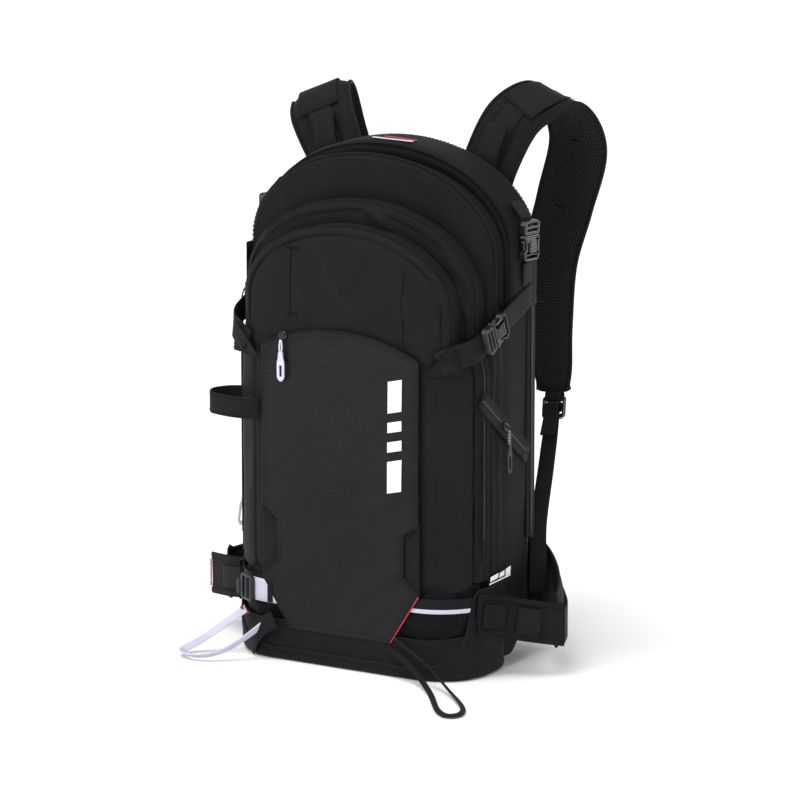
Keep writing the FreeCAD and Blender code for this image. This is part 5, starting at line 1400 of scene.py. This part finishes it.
def build_webbing():
    """Compression, rim, load-lifter, adjusting, chest and hip straps."""
    right = [[(118, -55.5, 344), (131.5, -49.4, 351), (146, -38.4, 356), (151.0, -24, 361.6),
              (151.4, -21, 363)],
             [(157.8, 13.0, 381.2), (157.4, 40, 391), (156.6, 68, 401), (151.6, 86.5, 406)]]
    left = [[(-118, -55.5, 344), (-131.5, -49.4, 351), (-146, -38.4, 356), (-153.6, -20, 362),
             (-153.8, 10, 374), (-156.6, 26, 381.5)], [(-161.8, 68.4, 404), (-158.4, 78, 407.5),
                                                       (-152, 87, 410)]]
    for k, (line, side) in enumerate([(p, 1) for p in right] + [(p, -1) for p in left]):
        path = smooth_path(np.array(line, float), 3.0)
        t = tangents(path)
        face = unit(np.cross(t, [0, 0.12, 1.0]))
        face = np.where((np.sum(face * [side, -0.4, 0], axis=1) < 0)[:, None], -face, face)
        across = np.cross(face, t)
        sweep(f"compression_web_{k}", path, across, web_section(25, 1.7), "web",
              replaces=["side_webbings"] if k == 0 else ())
    for side in (-1, 1):
        x = side
        webbing(f"rim_web_low_{side + 1}", [(x * 161.2, 57, 440), (x * 159.2, 59, 429), (x * 157.2, 62, 416),
                                            (x * 152, 64, 404)], 20,
                (side, 0, 0))
        webbing(f"rim_web_high_{side + 1}", [(x * 157.2, 59.2, 484), (x * 155.0, 59.4, 488),
                                             (x * 150.8, 59.6, 493), (x * 143, 60, 502)],
                20, (side, 0, 0.3))
        # the triangular patch that anchors the compression strap on the bag
        tri = [(x * 101, -61.0, 330), (x * 134, -52.8, 366), (x * 143, -42.5, 330)]
        mesh = []
        for a in np.linspace(0, 1, 12):
            for b in np.linspace(0, 1, 12):
                p = (1 - a) * np.array(tri[0]) + a * ((1 - b) * np.array(tri[1]) + b * np.array(tri[2]))
                mesh.append(p)
        patch = mesh_object(f"compression_patch_{side + 1}", mesh, grid_faces(12, 12))
        modify(recalc(patch), "SOLIDIFY", thickness=1.2 * MM, offset=0.0)
        apply_all(patch)
        finish_piece(patch, "nylon")
        ring = [np.array(p) + [x * 0.4, -0.9, 0] for p in tri]
        for k in range(3):
            stitches(f"compression_patch_stitch_{side + 1}_{k}",
                     [ring[k], (ring[k] + ring[(k + 1) % 3]) / 2, ring[(k + 1) % 3]], "thread", radius=0.4)
    # load lifters: webbing from under each lock into the rim seam, and a tail that lies on the strap
    for i, (at, along, _) in enumerate(UPPER_LOCKS):
        at, along = np.array(at, float), unit(along)
        end = at - along * 12
        webbing(f"lifter_web_{i}", [end + [0, -1.4, 2], end + [0, -2.2, -8], (end[0], 93.6, 489.5)], 20,
                (0, -1, 0), replaces=["harness_webbings"] if i == 0 else ())
        tail = [at + along * 8 + [0, -2.0, 0], at + along * 20 + [0, -5.0, 0], at + along * 38 + [0, 1.0, 2],
                at + along * 52 + [0, 7.0, 2]]
        webbing(f"lifter_tail_{i}", tail, 25, (0, -1, 0.25), thick=2.2)
    for side in (-1, 1):
        line = [(side * 132.0, 161.9, 245.6), (side * 141, 133, 198), (side * 150.6, 101, 146),
                (side * 155.0, 92.6, 108), (side * 155.2, 90, 72)]
        lock = place(*(LOWER_LOCK if side > 0 else mirrored_spec(LOWER_LOCK)))
        level = np.array(lock.to_3x3() @ Vector((0, 1, 0)))
        level = level * np.sign(level[0])
        through = [np.array(lock @ (Vector(p) * MM)) / MM for p in LOCK_WEB]
        path = smooth_path(np.array(through + line, float), 2.0)
        run = lengths(path)[:, None]
        inside = sum(np.linalg.norm(q - p) for p, q in zip(through, through[1:]))
        u = np.clip((run - inside) / (run[-1] - inside), 0, 1)
        v = np.clip((run - inside) / 30, 0, 1)
        across = level * (1 - v) + (np.array([1.0, 0, 0]) * (1 - u) + np.array([0.75, side * 0.6, 0]) * u) * v
        t = tangents(path)
        across = unit(across - t * np.sum(across * t, axis=1)[:, None])
        web = sweep(f"lower_web_{side + 1}", path, across, web_section(18, 1.6), "web", None)
        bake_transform(web)
        path = smooth_path(np.array([np.array(lock @ (Vector(p) * MM)) / MM for p in LOCK_TAB]), 1.5)
        tab = sweep(f"lower_lock_tab_{side + 1}", path, np.broadcast_to(level, path.shape),
                    web_section(20, 1.5), "web", None)
        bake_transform(tab)
        anchor = [(side * 146, 88, 62), (side * 156.5, 88, 66), (side * 156.5, 93, 84), (side * 146, 93, 84)]
        base = np.array(anchor, float)
        plate_mesh = mesh_object(f"lower_web_anchor_{side + 1}", base, [(0, 1, 2, 3)], smooth=False)
        modify(plate_mesh, "SOLIDIFY", thickness=2.0 * MM, offset=0.0)
        apply_all(plate_mesh)
        finish_piece(plate_mesh, "nylon")
    webbing("sternum_web_right", [(13, 196, 378), (30, 197.4, 378), (60, 199.4, 378), (90, 197.4, 378),
                                  (116, 193.6, 378)], 20,
            (0, 1, 0), body="sternum_clip", replaces=["sternum_webbing_right"])
    webbing("sternum_web_left", [(-25, 196, 378), (-42, 198, 378), (-64, 199.4, 378), (-92, 197.4, 378),
                                 (-112, 194, 378)], 20,
            (0, 1, 0), body="sternum_strap", replaces=["sternum_webbing_left"])
    hip_web("hip_web_right", [(213.6, 45.6), (200, 76.2), (179, 108.6), (162, 133), (145, 158), (118, 188)],
            "hip_side_right", "hip_webbing_right")
    hip_web("hip_web_left", [(-213.6, 45.6), (-200, 76.2), (-179, 108.6), (-161, 134), (-141, 160),
                             (-107.5, 188.6)], "hip_side_left",
            "hip_webbing_left")


def build_loops():
    plan = [(-101, -60.4), (-112, -65), (-132, -66.4), (-152, -63), (-164, -57), (-171.6, -40), (-163, -22),
            (-147.5, -13)]
    path = smooth_path(np.array([(x, y, 273) for x, y in plan], float), 3.0)
    sweep("ski_loop_band", path, upright(path), web_section(23, 2.0), "web", replaces=["ski_loop"])
    for z in (264, 282):
        line = path.copy()
        line[:, 2] = z
        out = unit(np.cross(tangents(path), [0, 0, 1.0]))
        stitches(f"ski_loop_stitch_{z}", line - out * 1.2, "thread", radius=0.35)
    points = [(-38, 97, 490), (-38.6, 99.4, 512), (-30, 100.6, 527), (-15, 101.4, 533.4), (0, 101.6, 534.6),
              (15, 101.4, 533.4), (30, 100.6, 527), (38.6, 99.4, 512), (38, 97, 490)]
    path = smooth_path(np.array(points, float), 3.0)
    swell = 1 + 0.25 * np.exp(-(path[:, 0] / 26) ** 4)
    sweep("grab_handle_web", path, np.broadcast_to([0, 1.0, 0], path.shape),
          [(5.5 * math.cos(a), 2.0 * math.sin(a)) for a in np.linspace(0, 2 * math.pi, 14, endpoint=False)],
          "web", replaces=["grab_handle"], scale=swell)


# ------------------------------------------------------------------ zip sliders and pulls

def slider_body(name, at, body, node):
    """A zip slider with the bridge that its pull hangs on."""
    outline = rounded([(-5, -3.0), (2.4, -4.6), (5, -3.2), (5, 3.2), (2.4, 4.6), (-5, 3.0)], 1.2)
    plate(name, outline, 2.2, at, "lacquer", body, (), 0.6, [node])
    arch_line_points = [(-3.4, 0, 1.0), (-2.6, 0, 2.8), (0, 0, 3.4), (2.2, 0, 2.8), (3.0, 0, 1.0)]
    world = [np.array(at @ Vector(np.array(p) * MM)) / MM for p in arch_line_points]
    tube(f"{name}_bridge", smooth_path(world, 1.0), 0.9, "lacquer", body, sides=8)


def pull(name, top, down, face, long, body, node, tab_mat):
    """A pull: speckled cord from the slider, then a moulded tab with a slot."""
    top, down = np.array(top, float), unit(down)
    face = unit(np.array(face, float) - down * np.dot(face, down))
    across = np.cross(down, face)
    cord_end = top + down * long * 0.42
    for k, side in enumerate((-1, 1)):
        line = [top + across * side * 0.5 - down * 1.0, top + across * side * 1.5 + down * long * 0.14,
                top + across * side * 1.1 + down * long * 0.3, cord_end + across * side * 1.2 + down * 3]
        tube(f"{name}_cord_{k}", smooth_path(line, 1.5), 0.95, "speckle" if tab_mat != "tpu" else tab_mat,
             body, sides=8)
    at = place(cord_end, down, face)
    half = 4.5
    end = long * 0.58
    outline = rounded([(-3, -2.2), (5, -half), (end - 4, -half), (end, -half + 3), (end, half - 3),
                       (end - 4, half), (5, half), (-3, 2.2)], 2.2)
    slot = rounded([(8, -half + 2.9), (end - 5, -half + 2.9), (end - 5, half - 2.9), (8, half - 2.9)], 1.4)
    plate(name, outline, 2.6, at, tab_mat, body, [slot], 0.9, [node])
    plate(f"{name}_sleeve", rounded([(-6, -2.6), (3, -3.2), (3, 3.2), (-6, 2.6)], 1.0), 3.4, at, tab_mat,
          body, (), 1.1)


def build_zip_pulls():
    """The four sliders and their pulls; the pulls on the left edge stand out from the bag."""
    a = math.radians(-38)
    along = (0, math.cos(a), math.sin(a))
    slider_body("side_slider", place((152.6, 25.55, 266.66), along, (1, 0, 0)), "side_pocket_slide",
                "side_pocket_slider")
    pull("side_pull", (157.3, 25.55, 261.66), (0, 0, -1), (1, 0, 0), 46, "side_pocket_tab",
         "side_pocket_pull", "rubber")
    slider_body("tool_slider", place((-69, -63.2, 356.69), (0.95, 0, 0.32), (0, -1, 0)), "tool_pocket_slide",
                "tool_pocket_slider")
    pull("tool_pull", (-69, -67.3, 351.69), (0, 0, -1), (0, -1, 0), 44, "tool_pocket_tab", "tool_pocket_pull",
         "tpu")
    slider_body("main_slider_upper", place((-152.8, 1.5, 392), (0, 0, 1), (-1, 0, 0)), "main_upper_slide",
                "main_zip_upper_slider")
    pull("main_pull_upper", (-157.4, 1.5, 387), (-0.2, 0, -1), (0.5, -0.86, 0), 46, "main_upper_tab",
         "main_zip_upper_pull", "rubber")
    slider_body("main_slider_lower", place((-152.8, 1.5, 179), (0, 0, 1), (-1, 0, 0)), "main_lower_slide",
                "main_zip_lower_slider")
    pull("main_pull_lower", (-157.4, 1.5, 174), (-0.14, 0, -1), (0.5, -0.86, 0), 50, "main_lower_tab",
         "main_zip_lower_pull", "tpu")


# ------------------------------------------------------------------ back

def rounded_pad(name, x0, x1, z0, z1, y, rise, replaces=()):
    """A moulded back pad: crowned mesh over foam, standing back from the door."""
    n, m = 64, 30
    cx, cz, hx, hz = (x0 + x1) / 2, (z0 + z1) / 2, (x1 - x0) / 2, (z1 - z0) / 2
    rows = []
    for v in np.linspace(-1, 1, n):
        row = []
        for u in np.linspace(-1, 1, m):
            corner = min(hx, hz) * 0.45
            px, pz = u * hx, v * hz
            ox, oz = abs(px) - (hx - corner), abs(pz) - (hz - corner)
            if ox > 0 and oz > 0:
                d = math.hypot(ox, oz)
                k = max(ox, oz) / d
                px = math.copysign(hx - corner + ox * k, px)
                pz = math.copysign(hz - corner + oz * k, pz)
            crown = (1 - abs(u) ** 5) * (1 - abs(v) ** 8)
            groove = sum(math.exp(-((pz - g) / 3.0) ** 2) for g in np.arange(-hz + 44, hz - 20,
                                                                             52)) if hz > hx else \
                sum(math.exp(-((px - g) / 3.0) ** 2) for g in (-46, 0, 46))
            row.append((cx + px, y + rise * crown - 3.2 * groove * crown, cz + pz))
        rows.append(row)
    grid = np.array(rows)
    obj = recalc(mesh_object(name, grid.reshape(-1, 3), grid_faces(n, m), grid_uv(grid)))
    modify(obj, "SUBSURF", levels=1)
    apply_all(obj)
    finish_piece(obj, "mesh", replaces=replaces)
    rim = np.vstack([grid[0], grid[1:, -1], grid[-1, ::-1][1:], grid[::-1, 0][1:], grid[0, :2]])
    tube(f"{name}_binding", smooth_path(rim, 4.0), 1.8, "piping", sides=8)


def build_back():
    """Back door with its zip, the sloping foot below it, the panel cloth and three mesh pads."""
    shoulder, top, foot = DOOR_HIGH[2] - 96, DOOR_HIGH[2], DOOR_LOW[2]
    shell("back_door_cloth", [(y, h, foot, shoulder, t) for y, h, t in
                              ((91.6, 136, top - 5), (91.2, 139, top - 2), (89.6, 141, top),
                               (88.2, 140.4, top - 0.6))], "nylon",
          ["back_door"], 24, -1.6)
    tube("back_door_zip", arch_line(89.6, 142.4, foot, shoulder, top + 1.4), 1.3, "lacquer", sides=6)
    for inset in (4, 8):
        stitches(f"back_door_stitch_{inset}", arch_line(92.4, 141 - inset, foot + 2, shoulder, top - inset),
                 "thread", radius=0.35)
    # the sloping foot below the door
    rows = []
    for v in np.linspace(0, 1, 14):
        z = 14 + v * (63 - 14)
        y = 47 + v * (89.4 - 47) + 2.0 * math.sin(math.pi * v)
        x = np.linspace(-149, 149, 50)
        rows.append(np.stack([x, y - 6 * np.abs(x / 149) ** 12, 0 * x + z], axis=1))
    grid = np.array(rows)
    foot_piece = grid_object("lumbar_slope_cloth", grid)
    finish_piece(recalc(foot_piece), "nylon")
    stitches("lumbar_slope_stitch", grid[-1] + np.array([0, 1.2, -4]), "thread", radius=0.35)
    rows = []
    for v in np.linspace(-1, 1, 90):
        u = np.linspace(-1, 1, 50)
        crown = (1 - np.abs(u) ** 14) * (1 - abs(v) ** 26)
        corner = np.clip((abs(v) * 223 - 183) / 40, 0, 1)
        x = u * (128 - 40 * (1 - math.sqrt(max(0.0, 1 - corner ** 2))))
        rows.append(np.stack([x, 91.2 + 6.4 * crown, 0 * x + 284 + v * 223], axis=1))
    grid = relax(np.array(rows), 0.5, 40, 21)
    cover = grid_object("back_panel_cloth", grid)
    modify(recalc(cover), "SUBSURF", levels=1)
    apply_all(cover)
    finish_piece(cover, "boot")
    hem = np.vstack([grid[0], grid[1:, -1], grid[-1, ::-1][1:], grid[::-1, 0][1:], grid[0, :2]])
    tube("back_panel_hem", smooth_path(hem, 5.0), 1.6, "piping", sides=8)
    rounded_pad("back_pad_right", 18, 104, 132, 428, 92.4, 17.5, ["back_pads"])
    rounded_pad("back_pad_left", -104, -18, 132, 428, 92.4, 17.5)
    rounded_pad("lumbar_pad", -96, 96, 66, 128, 92.4, 22.0)


# ------------------------------------------------------------------ marks, trigger

def quad_bar(name, corners, mat):
    """A thin printed bar between four corners."""
    c = np.array(corners, float)
    obj = mesh_object(name, c, [(0, 1, 2, 3)], smooth=False)
    modify(recalc(obj), "SOLIDIFY", thickness=0.35 * MM, offset=0.0)
    apply_all(obj)
    return finish_piece(obj, mat)


def build_marks():
    """Plain reflective blocks and bars where the real pack carries print."""
    def at(x, z):
        return (x, -62.7 - float(panel_surface(np.array(x), np.array(z))), z)

    x0, x1 = 61.0, 78.0
    z = 201.0
    for k, tall in enumerate((34, 11, 11, 34)):
        slant = 4.0
        quad_bar(f"panel_mark_{k}", [at(x0, z), at(x1, z + slant), at(x1, z + tall + slant),
                                     at(x0, z + tall)], "print")
        z += tall + 10
    for k, (a0, a1, mat, dy) in enumerate(((98, 80, "print", 0), (94, 80, "red_print", 7))):
        t0, t1 = math.radians(a0), math.radians(a1)
        pts = []
        for t, d in ((t0, 0), (t1, 0), (t1, 4), (t0, 4)):
            pts.append((159.4 * math.cos(t), 42 + dy + d, 452 + 107.2 * math.sin(t)))
        quad_bar(f"rim_mark_{k}", pts, mat)
    for k, (y0, y1, z0, z1) in enumerate(((-6, 38, 100.5, 102.0), (-4, 12, 103.6, 108.6),
                                          (15, 25, 103.8, 109), (28, 38, 103, 111))):
        quad_bar(f"side_mark_{k}", [(151.9, y0, z0), (151.9, y1, z0 + 1.2), (151.9, y1 + 0.8, z1 + 1.2),
                                    (151.9, y0 + 0.8, z1)], "print")


# ------------------------------------------------------------------ lights, floor, camera

def build_stage():
    """White floor, white surroundings, a broad soft sun and three soft panels."""
    bpy.ops.mesh.primitive_plane_add(size=14, location=(0, 0, 0))
    floor = bpy.context.object
    floor.name = "floor"
    mat = bpy.data.materials.new("floor")
    mat.use_nodes = True
    mat.node_tree.nodes["Principled BSDF"].inputs["Base Color"].default_value = (0.93, 0.93, 0.93, 1)
    mat.node_tree.nodes["Principled BSDF"].inputs["Roughness"].default_value = 0.9
    floor.data.materials.append(mat)
    world = bpy.data.worlds.new("studio")
    world.use_nodes = True
    world.node_tree.nodes["Background"].inputs[0].default_value = (1, 1, 1, 1)
    world.node_tree.nodes["Background"].inputs[1].default_value = 0.5
    bpy.context.scene.world = world
    bpy.context.scene.view_settings.view_transform = "Standard"
    sun = bpy.data.lights.new("softbox_sun", "SUN")
    sun.energy, sun.angle = 2.2, math.radians(40)
    lamp = bpy.data.objects.new("softbox_sun", sun)
    lamp.rotation_euler = Vector((0.3, 0.6, -2.1)).to_track_quat("-Z", "Y").to_euler()
    bpy.context.scene.collection.objects.link(lamp)
    for name, at, size, power in (("side", (2.8, -1.7, 1.3), 1.8, 42), ("front", (-1.7, -2.9, 1.5), 1.8, 38),
                                  ("rim", (0.6, 2.4, 1.8), 1.4, 12)):
        data = bpy.data.lights.new(name, "AREA")
        data.size, data.energy = size, power
        lamp = bpy.data.objects.new(name, data)
        lamp.location = at
        lamp.rotation_euler = (Vector((0, 0, 0.3)) - Vector(at)).to_track_quat("-Z", "Y").to_euler()
        bpy.context.scene.collection.objects.link(lamp)


def build_camera():
    """Long lens, 31 degrees round to the pack's right and 12.5 degrees up, 0.93 pixels to the millimetre."""
    azimuth, elevation = math.radians(31), math.radians(12.5)
    right = Vector((math.cos(azimuth), math.sin(azimuth), 0))
    toward = Vector((math.sin(azimuth) * math.cos(elevation), -math.cos(azimuth) * math.cos(elevation),
                     math.sin(elevation)))
    up = toward.cross(right)
    distance, scale = 6.0, 0.93
    target = right * 0.0326 + up * 0.2759
    data = bpy.data.cameras.new("camera")
    data.lens = scale * distance * 1000 / 800 * 36
    data.sensor_width = 36
    data.clip_end = 50
    camera = bpy.data.objects.new("camera", data)
    camera.matrix_world = Matrix((
        (right.x, up.x, toward.x, 0), (right.y, up.y, toward.y, 0), (right.z, up.z, toward.z, 0),
        (0, 0, 0, 1)))
    camera.location = target + toward * distance
    bpy.context.scene.collection.objects.link(camera)
    bpy.context.scene.camera = camera


def build_frame_materials():
    """Finishes for the CAD pieces that stay as they are."""
    finish = {
        # painted shade: the airbag housing in the gap under the rim, and the zip chains, take the darkened
        # gusset nylon
        "airbag_housing": "gusset", "frame_sheet": "sheet", "frame_stays": "alloy", "airbag": "airbag",
        "gas_cartridge": "anodised", "valve_head": "anodised", "release_lever": "anodised",
        "inflation_unit": "matte", "gas_hose": "rubber", "trigger_cable": "rubber",
        "trigger_handle": "trigger", "zipper_chains": "gusset",
    }
    for name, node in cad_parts.items():
        for slot in node.material_slots:
            slot.material = MAT[finish.get(name, "web")]


build_stage()
build_camera()
build_cords()
build_frame_materials()
build_panel()
build_boot()
build_tool_pocket()
build_front_pocket()
build_main_body()
build_rim()
build_zips()
build_shoulder_straps()
build_hip_wings()
build_stabilisers()
build_hardware()
build_webbing()
build_loops()
build_zip_pulls()
build_back()
build_marks()
